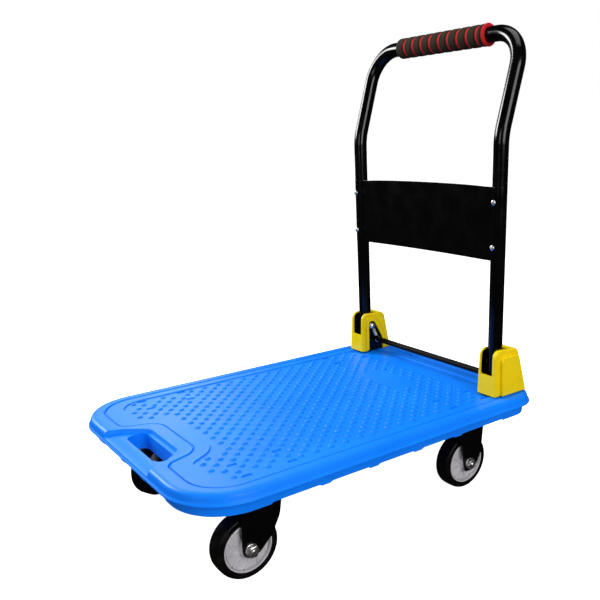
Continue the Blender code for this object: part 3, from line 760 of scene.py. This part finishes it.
def build_domes():
    """Low anti-slip domes on a staggered lattice."""
    centre, foot = (0, 0, FIELD_Z - 0.0002), (0, 0, FIELD_Z - 0.0003)
    deselect()
    bpy.ops.mesh.primitive_uv_sphere_add(segments=12, ring_count=8, radius=0.0051,
                                         location=centre)
    dome = settle("dome")
    edit(dome)
    bpy.ops.transform.resize(value=(1, 1, 0.56), center_override=centre)
    bpy.ops.mesh.bisect(plane_co=foot, plane_no=(0, 0, -1), use_fill=True, clear_outer=True)
    done()
    domes = []
    for k in range(-14, 24):
        y = DOME_START + DOME_Y * k
        half = 0.5 if k % 2 == 0 else 0.0
        for n in range(-8, 9):
            x = (n + half) * DOME_X
            if dome_allowed(x, y):
                domes.append(copy_of(dome, "dome", Matrix.Translation((x, y, 0))))
    bpy.data.objects.remove(dome, do_unlink=True)
    dress(joined("deck_domes", domes), "deck", BLUE, 60)


def build_deck_bolts():
    """Round-headed bolts in the deck wells, with nuts under the caster plates. The heads wear the
    black paint as painted shade, so the wells read dark.
    """
    head = turned("bolt", "Z", (0, 0, 0),
                  ((DECK_TOP - 0.0066, 0.0030), (DECK_TOP - 0.0058, 0.0030),
                   (DECK_TOP - 0.0053, 0.0026), (DECK_TOP - 0.0050, 0.0014)), 16)
    nut = turned("nut", "Z", (0, 0, 0), ((0.1205, 0.0050), (0.1212, 0.0058),
                                         (0.1262, 0.0058), (0.1269, 0.0052)), 6)
    end = turned("end", "Z", (0, 0, 0), ((0.1170, 0.0024), (0.1176, 0.0030),
                                         (0.1260, 0.0030)), 16)
    bolt = joined("bolt", [head, nut, end])
    places = list(caster_bolt_places())
    for label, x_side in SIDES:
        for row, y_side in (("front", -1), ("rear", 1)):
            near = [copy_of(bolt, "bolt", Matrix.Translation((x, y, 0)))
                    for x, y in places if x * x_side > 0 and y * y_side > 0]
            # Black paint on the bolt heads is painted shade standing in for the shadow down in the
            # wells.
            dress(joined(f"deck_bolts_{row}_{label}", near), "deck", PAINT)
    bpy.data.objects.remove(bolt, do_unlink=True)


# ---------------------------------------------------------------- hinge brackets

COVER_FRONT = 0.2495
COVER_REAR = 0.3255
COVER_TOP = 0.251
COVER_FOOT = 0.1668
COVER_INNER = 0.1685
COVER_OUTER = 0.2075


def cover_side(name, x, points, corners, step, width=0.0, segments=3):
    """A plate seen from the side, given as (y, z) points, extruded along x."""
    plate = side_outline(name, x, points, corners)
    pull((step, 0, 0))
    return soften(plate, width, segments) if width else plate


def hinge_cover():
    """The right-hand cover: shell, raised side panel, arch border, cavity, notch and arch."""
    front, rear, top, foot = COVER_FRONT, COVER_REAR, COVER_TOP, COVER_FOOT
    body = [(front - 0.0024, foot), (front, top), (rear - 0.016, top - 0.0015),
            (rear + 0.0015, foot)]
    cover = cover_side("hinge_cover", COVER_INNER, body,
                       ((body[1], 0.0125), (body[2], 0.0100)), COVER_OUTER - COVER_INNER, 0.0030)
    panel = [(front + 0.0115, foot + 0.0022), (front + 0.0115, top - 0.0120),
             (rear - 0.0195, top - 0.0130), (rear - 0.0020, foot + 0.0022)]
    raised = cover_side("panel", COVER_OUTER - 0.004, panel,
                        ((panel[1], 0.0120), (panel[2], 0.0060)), 0.0096, 0.0015)
    cut(cover, raised, "UNION")
    moat = [(0.2568, foot - 0.0050), (0.2568, 0.2425), (0.2868, 0.2425), (0.3122, 0.1956),
            (0.3154, foot - 0.0050)]
    cut(cover, cover_side("moat", COVER_INNER - 0.005, moat,
                          ((moat[1], 0.0105), (moat[2], 0.0100)), 0.0064))
    border = [(0.2585, foot + 0.0030), (0.2585, 0.2408), (0.2855, 0.2408), (0.3105, 0.1950),
              (0.3135, foot + 0.0030)]
    rim = cover_side("border", COVER_INNER - 0.0022, border,
                     ((border[1], 0.0090), (border[2], 0.0090)), 0.0050, 0.0010, 2)
    cut(cover, rim, "UNION")
    cavity = [(front + 0.0026, foot - 0.005), (front + 0.0026, top - 0.0026),
              (rear - 0.0180, top - 0.0040), (rear - 0.0024, foot - 0.005)]
    cut(cover, cover_side("cavity", PIPE_X - 0.0163, cavity, ((cavity[1], 0.0100),), 0.0345))
    notch = block("notch", (PIPE_X - 0.0135, front - 0.01, 0.2045),
                  (PIPE_X + 0.0135, PIVOT.y + 0.0162, top + 0.01))
    edit(notch)
    choose("EDGE", lambda a, b: abs(a.x - b.x) < 0.001 and abs(a.z - b.z) < 0.001
           and a.z < 0.21)
    bpy.ops.mesh.bevel(offset=0.0022, segments=3, affect="EDGES")
    done()
    cut(cover, notch)
    arch = [(0.2655, foot - 0.01), (0.2655, 0.2335), (0.2800, 0.2335), (0.3030, 0.1930),
            (0.3065, foot - 0.01)]
    cut(cover, cover_side("arch", COVER_INNER - 0.006, arch,
                          ((arch[1], 0.0055), (arch[2], 0.0055), (arch[3], 0.0060)), 0.010))
    soften(cover, 0.0005, 2, 50)
    for vertex in cover.data.vertices:
        drop = (top - vertex.co.z) / (top - foot)
        outward = max(0.0, (vertex.co.x - PIPE_X) / (COVER_OUTER - PIPE_X))
        vertex.co.x += 0.0040 * drop * outward
    return cover


def build_covers():
    right = hinge_cover()
    left = copy_of(right, "hinge_cover_visual_left", MIRROR)
    right.name = "hinge_cover_visual_right"
    for label, cover in (("left", left), ("right", right)):
        dress(cover, "deck", YELLOW, 30)
        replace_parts(cover, f"hinge_cover_{label}")


def build_pins():
    """Headed hinge pins, a dome inside the arch and a flat head outside."""
    y, z = PIVOT.y, PIVOT.z
    for label, side in SIDES:
        profile = ((0.1579, 0.0018), (0.1584, 0.0040), (0.1596, 0.0056), (0.1610, 0.0061),
                   (0.1616, 0.0058), (0.1616, 0.0046), (0.2031, 0.0046), (0.2031, 0.0064),
                   (0.2046, 0.0064), (0.2049, 0.0058))
        pin = turned(f"hinge_pin_visual_{label}", "X", (0, y, z),
                     [(side * along, radius) for along, radius in profile], 32)
        dress(pin, "deck", ZINC)
        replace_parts(pin, f"hinge_pin_{label}")


SPRING_X = 0.1650
BAR_REACH = 0.0369
BAR_RADIUS = 0.005


def build_springs():
    """Close-wound extension springs from the pins to the release bar, hooked at both ends."""
    wire_radius, hook_step = 0.0009, 20
    along = BAR_TRAVEL.normalized()
    over = Vector((0, -along.z, along.y))
    pin_hook, bar_hook = 0.0047 + wire_radius, BAR_RADIUS + wire_radius
    coil, turns, per_turn = 0.0033, 9, 14
    start, end = 0.0105, BAR_REACH - 0.0115
    flat = [(pin_hook * math.sin(math.radians(d)), -pin_hook * math.cos(math.radians(d)), 0.0)
            for d in range(-130, 91, hook_step)]
    flat += [(coil * math.cos(math.tau * i / per_turn),
              start + (end - start) * i / (turns * per_turn),
              coil * math.sin(math.tau * i / per_turn)) for i in range(turns * per_turn + 1)]
    flat += [(bar_hook * math.sin(math.radians(d)),
              BAR_REACH - bar_hook * math.cos(math.radians(d)), 0.0)
             for d in range(90, 311, hook_step)]
    for label, side in SIDES:
        origin = Vector((side * SPRING_X, PIVOT.y, PIVOT.z))
        path = [origin + over * u + along * v + Vector((w, 0, 0)) for u, v, w in flat]
        spring = wire(chain(f"return_spring_visual_{label}", path), wire_radius, 8)
        dress(spring, None, ZINC, 60)
        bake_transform(spring)
        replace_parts(spring, f"return_spring_{label}")


def build_release_bar():
    """Round steel bar with a rough rubber hose on its middle."""
    low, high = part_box("release_bar")
    middle = (low + high) / 2
    reach = high.x
    bar = turned("release_bar_visual", "X", (0, middle.y, middle.z),
                 ((-reach, 0.0040), (-reach + 0.0010, BAR_RADIUS), (reach - 0.0010, BAR_RADIUS),
                  (reach, 0.0040)), 28)
    dress(bar, "release_bar", PAINT)
    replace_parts(bar, "release_bar")
    length, ribs, rib_half = 0.1570, 78, 0.0009
    wall, valley, crest = BAR_RADIUS + 0.0002, 0.0055, 0.0059
    profile = [(-length, wall), (-length, valley)]
    for i in range(ribs):
        at = -length + 2 * length * (i + 0.5) / ribs
        profile += [(at - rib_half, valley), (at, crest), (at + rib_half, valley)]
    profile += [(length, valley), (length, wall), (-length, wall)]
    sleeve = turned("release_sleeve_visual", "X", (0, middle.y, middle.z), profile, 20, True)
    dress(sleeve, "release_bar", HOSE, 60)
    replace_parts(sleeve, "release_sleeve")


# ---------------------------------------------------------------- folding handle

def on_handle(x, out, up):
    """A place on the upright handle: out is rearwards, up is along the leaning legs."""
    turn = Matrix.Rotation(LEG_LEAN, 3, "X")
    return PIVOT + turn @ Vector((x, out, up))


def bar_place():
    over = BAR_HEIGHT - BEND_HEIGHT
    return over * math.sin(BEND_ANGLE), BEND_HEIGHT + over * math.cos(BEND_ANGLE)


def build_tube():
    """One tube bent into a U: feet, a back bend in each leg and two top corners."""
    out, up = bar_place()
    right = [on_handle(PIPE_X, 0, -0.0285), on_handle(PIPE_X, 0, BEND_HEIGHT),
             on_handle(PIPE_X, out, up)]
    left = [Vector((-p.x, p.y, p.z)) for p in reversed(right)]
    path = chain("handle_tube_visual", right + left)
    edit(path)
    bend_z, top_z = right[1].z, right[2].z
    round_corners(0.10 * math.tan(BEND_ANGLE / 2), 8, lambda place: abs(place.z - bend_z) < 0.001)
    round_corners(CORNER_RADIUS, 16, lambda place: abs(place.z - top_z) < 0.001)
    done()
    tube = wire(path, PIPE_RADIUS, 32, caps=False)
    thicken(tube, "wall", 0.0015, -1)
    dress(tube, "handle", PAINT, 40)
    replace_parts(tube, "handle_tube")


GUARD_LOW = 0.182
GUARD_HIGH = 0.307
GUARD_SETBACK = 0.0065
GUARD_SHEET = 0.0015


def build_guard():
    """Sheet steel between the legs, wrapped over their fronts, with a crowned top edge."""
    radius = PIPE_RADIUS + 0.0003
    start = math.degrees(math.asin(GUARD_SETBACK / radius)) - 180
    wrap = [(PIPE_X + radius * math.cos(math.radians(a)), radius * math.sin(math.radians(a)))
            for a in [start + (-20 - start) * i / 14 for i in range(15)]]
    edge = wrap[0][0]
    flat = [(edge * i / 12, -GUARD_SETBACK) for i in range(-11, 12)]
    section = [(-x, y) for x, y in reversed(wrap)] + flat + wrap
    plate = chain("guard_plate_visual", [on_handle(x, y, GUARD_LOW) for x, y in section])
    edit(plate)
    rows = 10
    for _ in range(rows):
        extrude((on_handle(0, 0, GUARD_HIGH) - on_handle(0, 0, GUARD_LOW)) / rows)
    done()
    low_z, high_z = on_handle(0, 0, GUARD_LOW).z, on_handle(0, 0, GUARD_HIGH).z
    for vertex in plate.data.vertices:
        share = (vertex.co.z - low_z) / (high_z - low_z)
        inward = max(0.0, 1 - (vertex.co.x / 0.158) ** 2)
        vertex.co.z += 0.0030 * inward ** 0.7 * share - 0.0012 * share
        vertex.co.z += 0.0014 * inward * (1 - share)
    thicken(plate, "sheet", GUARD_SHEET, 1)
    edit(plate)
    outward()
    done()
    soften(plate, 0.0004, 2, 60)
    dress(plate, "handle", PAINT, 30)
    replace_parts(plate, "guard_plate")


def build_guard_screws():
    """Cross-headed screws on the wrapped ends of the guard."""
    for label, side in SIDES:
        for level in ("low", "high"):
            low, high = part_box(f"guard_screw_{label}_{level}")
            middle = (low + high) / 2
            face = high.y
            head = turned("head", "Y", (middle.x, face, middle.z),
                          ((0.0, 0.0046), (-0.0009, 0.0046), (-0.0017, 0.0042),
                           (-0.0023, 0.0034), (-0.0027, 0.0020)), 28)
            for size in ((0.0022, 0.0005), (0.0005, 0.0022)):
                cut(head, block("cross", (middle.x - size[0], face - 0.004, middle.z - size[1]),
                                (middle.x + size[0], face - 0.0014, middle.z + size[1])))
            head.name = f"guard_screw_visual_{label}_{level}"
            dress(head, "handle", ZINC)
            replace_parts(head, f"guard_screw_{label}_{level}")


GRIP_HALF = 0.111
GRIP_RADIUS = 0.018
GRIP_GROOVES = 9
FLANGE = 0.0048


def build_grip():
    """Black foam rings over a red foam core, which shows in the grooves and as an end flange."""
    out, up = bar_place()
    centre = on_handle(0, out, up)
    inside = PIPE_RADIUS + 0.0003
    pitch = (2 * GRIP_HALF - FLANGE) / (GRIP_GROOVES + 0.5)
    middles = [-GRIP_HALF + pitch * (i + 0.95) for i in range(GRIP_GROOVES)]
    floor = 0.0162
    core = [(-GRIP_HALF + 0.001, inside), (-GRIP_HALF + 0.001, 0.0150)]
    for middle in middles:
        core += [(middle - 0.0034, 0.0150), (middle - 0.0034, floor), (middle + 0.0034, floor),
                 (middle + 0.0034, 0.0150)]
    end = GRIP_HALF - FLANGE
    core += [(end, 0.0150), (end, 0.0172), (end + 0.0009, 0.0182), (end + 0.0024, 0.0186),
             (GRIP_HALF - 0.0009, 0.0182), (GRIP_HALF, 0.0174), (GRIP_HALF, inside),
             (-GRIP_HALF + 0.001, inside)]
    red = turned("grip_core_visual", "X", centre, core, 48, True)
    dress(red, "handle", RED_FOAM, 45)
    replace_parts(red, "grip_core")
    rings = []
    edges = [-GRIP_HALF] + [m + s * 0.0026 for m in middles for s in (-1, 1)] + [end - 0.0003]
    for low, high in zip(edges[0::2], edges[1::2]):
        profile = [(low, 0.0152), (low, 0.0163), (low + 0.0006, 0.0172), (low + 0.0018, 0.0178),
                   (low + 0.0036, GRIP_RADIUS), (high - 0.0036, GRIP_RADIUS),
                   (high - 0.0018, 0.0178), (high - 0.0006, 0.0172), (high, 0.0163),
                   (high, 0.0152), (low, 0.0152)]
        rings.append(turned("ring", "X", centre, profile, 48, True))
    black = joined("grip_sleeve_visual", rings)
    dress(black, "handle", FOAM, 60)
    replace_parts(black, "grip_sleeve")


# ---------------------------------------------------------------- casters

WHEEL_RADIUS = 0.050
CROWN_TOP = 0.1185
PLATE_TOP = 0.1297
PLATE_SHEET = 0.0025
FORK_INNER = 0.0195
FORK_SHEET = 0.0025


def tyre(centre):
    """Solid tyre with a nearly flat tread and round shoulders."""
    half = [(0.0, WHEEL_RADIUS), (0.0060, WHEEL_RADIUS - 0.0001), (0.0105, WHEEL_RADIUS - 0.0005),
            (0.0128, WHEEL_RADIUS - 0.0013), (0.0140, WHEEL_RADIUS - 0.0025),
            (0.0145, WHEEL_RADIUS - 0.0042), (0.0145, 0.0408), (0.0141, 0.0394),
            (0.0134, 0.0388)]
    profile = half + [(-x, r) for x, r in reversed(half[1:])] + [half[0]]
    return turned("tyre", "X", centre, profile, 72, True)


def rim(centre):
    """Dished grey rim with an outer ring, a hub and curved ribs on both faces."""
    half = [(0.0130, 0.0387), (0.0146, 0.0384), (0.0150, 0.0378), (0.0148, 0.0366),
            (0.0140, 0.0361), (0.0092, 0.0358), (0.0088, 0.0344), (0.0108, 0.0338),
            (0.0110, 0.0312), (0.0102, 0.0180), (0.0106, 0.0150), (0.0126, 0.0138),
            (0.0175, 0.0128), (0.0180, 0.0122), (0.0180, 0.0084)]
    profile = half + [(-x, r) for x, r in reversed(half)] + [half[0]]
    dish = turned("rim", "X", centre, profile, 72, True)
    ribs = []
    root, end, middle = 0.0125, 0.0342, 0.0100
    for side in (-1, 1):
        rib = block("rib", (side * middle - 0.0034, -0.0011, root),
                    (side * middle + 0.0034, 0.0011, end))
        edit(rib)
        bpy.ops.mesh.subdivide(number_cuts=3)
        done()
        for vertex in rib.data.vertices:
            out = (vertex.co.z - root) / (end - root)
            vertex.co.y += side * 0.0070 * out * out
            if side * vertex.co.x > middle:
                vertex.co.x -= side * 0.0008 * math.sin(math.pi * out)
        rib.data.transform(Matrix.Translation(centre))
        soften(rib, 0.0007, 2, 50)
        ribs.append(round_array(rib, "ribs", "X", centre, 10))
    return joined("rim", [dish, *ribs])


def axle(centre, side):
    """Bolt with a chamfered hexagon head inside and a threaded end outside."""
    near, reach = FORK_INNER + FORK_SHEET + 0.0003, 0.0327
    bolt = turned("bolt", "X", centre,
                  [(side * a, r) for a, r in
                   ((-near - 0.0062, 0.0072), (-near - 0.0056, 0.0094), (-near - 0.0004, 0.0094),
                    (-near, 0.0090))], 6)
    threads = [(side * -near, 0.0040), (side * near, 0.0048)]
    turns = 12
    for i in range(turns):
        at = near + 0.004 + (reach - near - 0.005) * i / turns
        threads += [(side * at, 0.0049), (side * (at + 0.00025), 0.0045)]
    threads += [(side * (reach - 0.0008), 0.0047), (side * reach, 0.0038)]
    shaft = turned("shaft", "X", centre, threads, 24)
    return joined("axle_bolt", [bolt, shaft])


def axle_nut(centre, side):
    """Washer and chamfered nut outside the fork."""
    near = FORK_INNER + FORK_SHEET + 0.0003
    washer = turned("washer", "X", centre,
                    [(side * a, r) for a, r in
                     ((near, 0.0100), (near + 0.0003, 0.0105), (near + 0.0013, 0.0105),
                      (near + 0.0016, 0.0100))], 36)
    nut = turned("nut", "X", centre,
                 [(side * a, r) for a, r in
                  ((near + 0.0016, 0.0093), (near + 0.0022, 0.0098), (near + 0.0070, 0.0098),
                   (near + 0.0082, 0.0080), (near + 0.0086, 0.0056))], 6)
    return joined("axle_nut", [washer, nut])


def fork_sheets(name, points, y_low, y_high, top, corners):
    """A pressed steel fork: an inverted channel trimmed to its side view, edges rolled."""
    wide, inner, floor = FORK_INNER + FORK_SHEET, FORK_INNER, 0.020
    section = [(-wide, floor), (-inner, floor), (-inner, top - FORK_SHEET),
               (inner, top - FORK_SHEET), (inner, floor), (wide, floor), (wide, top), (-wide, top)]
    fork = outline(name, [(x, y_low, z) for x, z in section])
    edit(fork)
    pull((0, y_high - y_low, 0))
    edit(fork)
    choose("EDGE", lambda a, b: abs(a.x - b.x) < 0.0001 and min(a.z, b.z) > top - 0.0001)
    bpy.ops.mesh.bevel(offset=0.0048, segments=4, affect="EDGES")
    choose("EDGE", lambda a, b: abs(a.x - b.x) < 0.0001 and abs(a.z - top + FORK_SHEET) < 0.0001
           and abs(b.z - top + FORK_SHEET) < 0.0001)
    bpy.ops.mesh.bevel(offset=0.0022, segments=3, affect="EDGES")
    done()
    trim = side_outline("trim", -0.04, points, corners)
    pull((0.08, 0, 0))
    cut(fork, trim, "INTERSECT")
    return soften(fork, 0.0006, 2, 50)


def top_plate(name, x, y):
    """Bolted caster plate with round corners."""
    half_x, half_y = 0.0325, 0.0475
    plate = outline(name, [(x - half_x, y - half_y, PLATE_TOP), (x + half_x, y - half_y, PLATE_TOP),
                           (x + half_x, y + half_y, PLATE_TOP), (x - half_x, y + half_y, PLATE_TOP)])
    edit(plate)
    round_corners(0.007, 5)
    pull((0, 0, -PLATE_SHEET))
    return soften(plate, 0.0005, 2, 50)


def build_wheel(label, body, centre, turn=Matrix.Identity(4)):
    for name, piece, material, slot in (("tyre", tyre(centre), RUBBER, "tyre_rubber"),
                                        ("rim", rim(centre), NYLON, "grey_plastic")):
        piece.data.transform(turn)
        piece.name = f"{name}_visual_{label}"
        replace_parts(dress(piece, body, material, 35), f"{name}_{label}")


def build_axle(label, body, centre, side, turn=Matrix.Identity(4)):
    for name, piece in (("axle_bolt", axle(centre, side)), ("axle_nut", axle_nut(centre, side))):
        piece.data.transform(turn)
        piece.name = f"{name}_visual_{label}"
        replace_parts(dress(piece, body, ZINC, 30), f"{name}_{label}")


def build_swivel_caster(label, side):
    """Plate, race, cup, trailing fork, axle and wheel, turned as the joints say."""
    swivel = Vector(joints[f"caster_swivel_{label}"]["pos_m"])
    spin = Vector(joints[f"wheel_spin_front_{label}"]["pos_m"])
    body, name = f"swivel_{label}", f"front_{label}"
    x, y = swivel.x, swivel.y
    plate = top_plate("plate", x, y)
    low = PLATE_TOP - PLATE_SHEET
    race = turned("race", "Z", (x, y, 0),
                  ((low + 0.0004, 0.0225), (low - 0.0016, 0.0212), (low - 0.0042, 0.0182),
                   (CROWN_TOP + 0.0016, 0.0172)), 48)
    made = dress(joined(f"swivel_plate_visual_{name}", [plate, race]), "deck", PAINT)
    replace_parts(made, f"swivel_plate_{name}")
    cup = turned("cup", "Z", (x, y, 0),
                 ((CROWN_TOP + 0.0003, 0.0200), (CROWN_TOP + 0.0003, 0.0265),
                  (CROWN_TOP + 0.0018, 0.0278), (CROWN_TOP + 0.0040, 0.0280),
                  (CROWN_TOP + 0.0058, 0.0272), (low - 0.0010, 0.0256), (low - 0.0008, 0.0235),
                  (CROWN_TOP + 0.0062, 0.0212), (CROWN_TOP + 0.0003, 0.0200)), 48, True)
    made = dress(cup, body, PAINT, 40)
    made.name = f"race_cup_visual_{name}"
    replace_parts(made, f"race_cup_{name}")
    arm = spin - swivel
    trail = -math.hypot(arm.x, arm.y)
    turn = (Matrix.Translation((x, y, 0))
            @ Matrix.Rotation(math.atan2(arm.x, -arm.y), 4, "Z"))
    axle_place = (0, trail, spin.z)
    points = [(trail - 0.0130, 0.0560), (trail - 0.0125, 0.0380), (trail + 0.0105, 0.0375),
              (-0.0060, 0.0610), (0.0095, 0.0900), (0.0130, 0.1120), (0.0130, CROWN_TOP + 0.01),
              (-0.0440, CROWN_TOP + 0.01), (-0.0540, 0.1040), (-0.0540, 0.0900)]
    corners = ((points[1], 0.0120), (points[2], 0.0090), (points[4], 0.006), (points[8], 0.005))
    fork = fork_sheets("fork", points, -0.060, 0.022, CROWN_TOP, corners)
    fork.data.transform(turn)
    made = dress(fork, body, PAINT, 30)
    made.name = f"fork_visual_{name}"
    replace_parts(made, f"fork_{name}")
    build_axle(name, body, axle_place, side, turn)
    build_wheel(name, f"wheel_{name}", axle_place, turn)


def build_rigid_caster(label, side):
    """Plate and fork in one, axle and wheel."""
    name = f"rear_{label}"
    spin = Vector(joints[f"wheel_spin_{name}"]["pos_m"])
    x, y = spin.x, spin.y
    points = [(-0.0120, 0.0460), (-0.0100, 0.0350), (0.0110, 0.0350), (0.0200, 0.0460),
              (0.0300, 0.0640), (0.0340, 0.1130), (0.0340, PLATE_TOP + 0.01),
              (-0.0330, PLATE_TOP + 0.01), (-0.0330, 0.1130), (-0.0185, 0.0850)]
    corners = ((points[1], 0.0055), (points[2], 0.0055))
    fork = fork_sheets("fork", points, -0.040, 0.040, PLATE_TOP, corners)
    fork.data.transform(Matrix.Translation((x, y, 0)))
    plate = top_plate("plate", x, y)
    made = dress(joined(f"fork_visual_{name}", [fork, plate]), "deck", PAINT, 30)
    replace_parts(made, f"fork_{name}")
    build_axle(name, "deck", spin, side)
    build_wheel(name, f"wheel_{name}", spin)


def dress_cad_nodes():
    """Finishes for the solids that are shown as they are."""
    finishes = {"hinge_base_": PAINT, "pivot_bush_": ZINC, "wheel_bush_": ZINC, "king_pin_": ZINC}
    for name, node in frame["nodes"].items():
        for start, material in finishes.items():
            if name.startswith(start):
                node.data.materials.clear()
                node.data.materials.append(material)


# ---------------------------------------------------------------- studio

def build_stage():
    """A wide paper sweep under the wheels, which colours nothing and isn't reflected."""
    deselect()
    bpy.ops.mesh.primitive_plane_add(size=60, location=(0, 0, -0.0003))
    floor = settle("floor")
    floor.data.materials.append(pale_floor())
    floor.visible_diffuse = False
    floor.visible_glossy = False


def softbox(name, place, target, size, power):
    data = bpy.data.lights.new(name, "AREA")
    data.shape = "RECTANGLE"
    data.size, data.size_y = size
    data.energy = power
    light = bpy.data.objects.new(name, data)
    bpy.context.scene.collection.objects.link(light)
    light.location = place
    way = Vector(target) - Vector(place)
    light.rotation_euler = way.to_track_quat("-Z", "Y").to_euler()


def build_world():
    """Dim white all round, darker in reflections, and plain white behind the cart."""
    world = bpy.data.worlds.new("studio")
    bpy.context.scene.world = world
    world.use_nodes = True
    tree = world.node_tree
    dim = tree.nodes["Background"]
    dark = tree.nodes.new("ShaderNodeBackground")
    white = tree.nodes.new("ShaderNodeBackground")
    for background, strength in ((dim, 0.30), (dark, 0.024), (white, 1.0)):
        background.inputs["Color"].default_value = (1, 1, 1, 1)
        background.inputs["Strength"].default_value = strength
    path = tree.nodes.new("ShaderNodeLightPath")
    by_gloss = tree.nodes.new("ShaderNodeMixShader")
    by_camera = tree.nodes.new("ShaderNodeMixShader")
    tree.links.new(path.outputs["Is Glossy Ray"], by_gloss.inputs[0])
    tree.links.new(dim.outputs[0], by_gloss.inputs[1])
    tree.links.new(dark.outputs[0], by_gloss.inputs[2])
    tree.links.new(path.outputs["Is Camera Ray"], by_camera.inputs[0])
    tree.links.new(by_gloss.outputs[0], by_camera.inputs[1])
    tree.links.new(white.outputs[0], by_camera.inputs[2])
    tree.links.new(by_camera.outputs[0], tree.nodes["World Output"].inputs["Surface"])


def build_light():
    target = (0, 0, 0.25)
    softbox("key", (-1.9, -0.9, 1.35), target, (0.8, 0.8), 60)
    softbox("overhead", (0.2, 0.3, 2.4), target, (1.4, 1.4), 22)
    softbox("front", (0.9, -2.3, 1.0), target, (0.8, 0.8), 9)
    softbox("right", (2.3, -0.2, 1.2), target, (1.2, 1.2), 36)
    softbox("left", (-2.2, 0.6, 1.3), (0, -0.1, 0.2), (0.5, 0.9), 10)
    build_world()


def build_camera():
    azimuth, elevation, roll = (math.radians(a) for a in (51.92, 17.13, -0.85))
    forward = Vector((-math.sin(azimuth) * math.cos(elevation),
                      math.cos(azimuth) * math.cos(elevation), -math.sin(elevation)))
    data = bpy.data.cameras.new("camera")
    data.sensor_width = 36
    data.lens = 42.3
    data.shift_x = -0.1105
    data.shift_y = 0.1002
    camera = bpy.data.objects.new("camera", data)
    bpy.context.scene.collection.objects.link(camera)
    camera.location = (0.9937, -0.6527, 0.6028)
    level = forward.to_track_quat("-Z", "Y").to_matrix()
    camera.rotation_euler = (level @ Matrix.Rotation(roll, 3, "Z")).to_euler()
    bpy.context.scene.camera = camera
    bpy.context.scene.view_settings.view_transform = "Standard"


def main():
    build_camera()
    build_light()
    build_stage()
    build_deck()
    build_ribs()
    build_domes()
    build_deck_bolts()
    build_covers()
    build_pins()
    build_springs()
    build_release_bar()
    build_tube()
    build_guard()
    build_guard_screws()
    build_grip()
    for label, side in SIDES:
        build_swivel_caster(label, side)
        build_rigid_caster(label, side)
    dress_cad_nodes()


main()
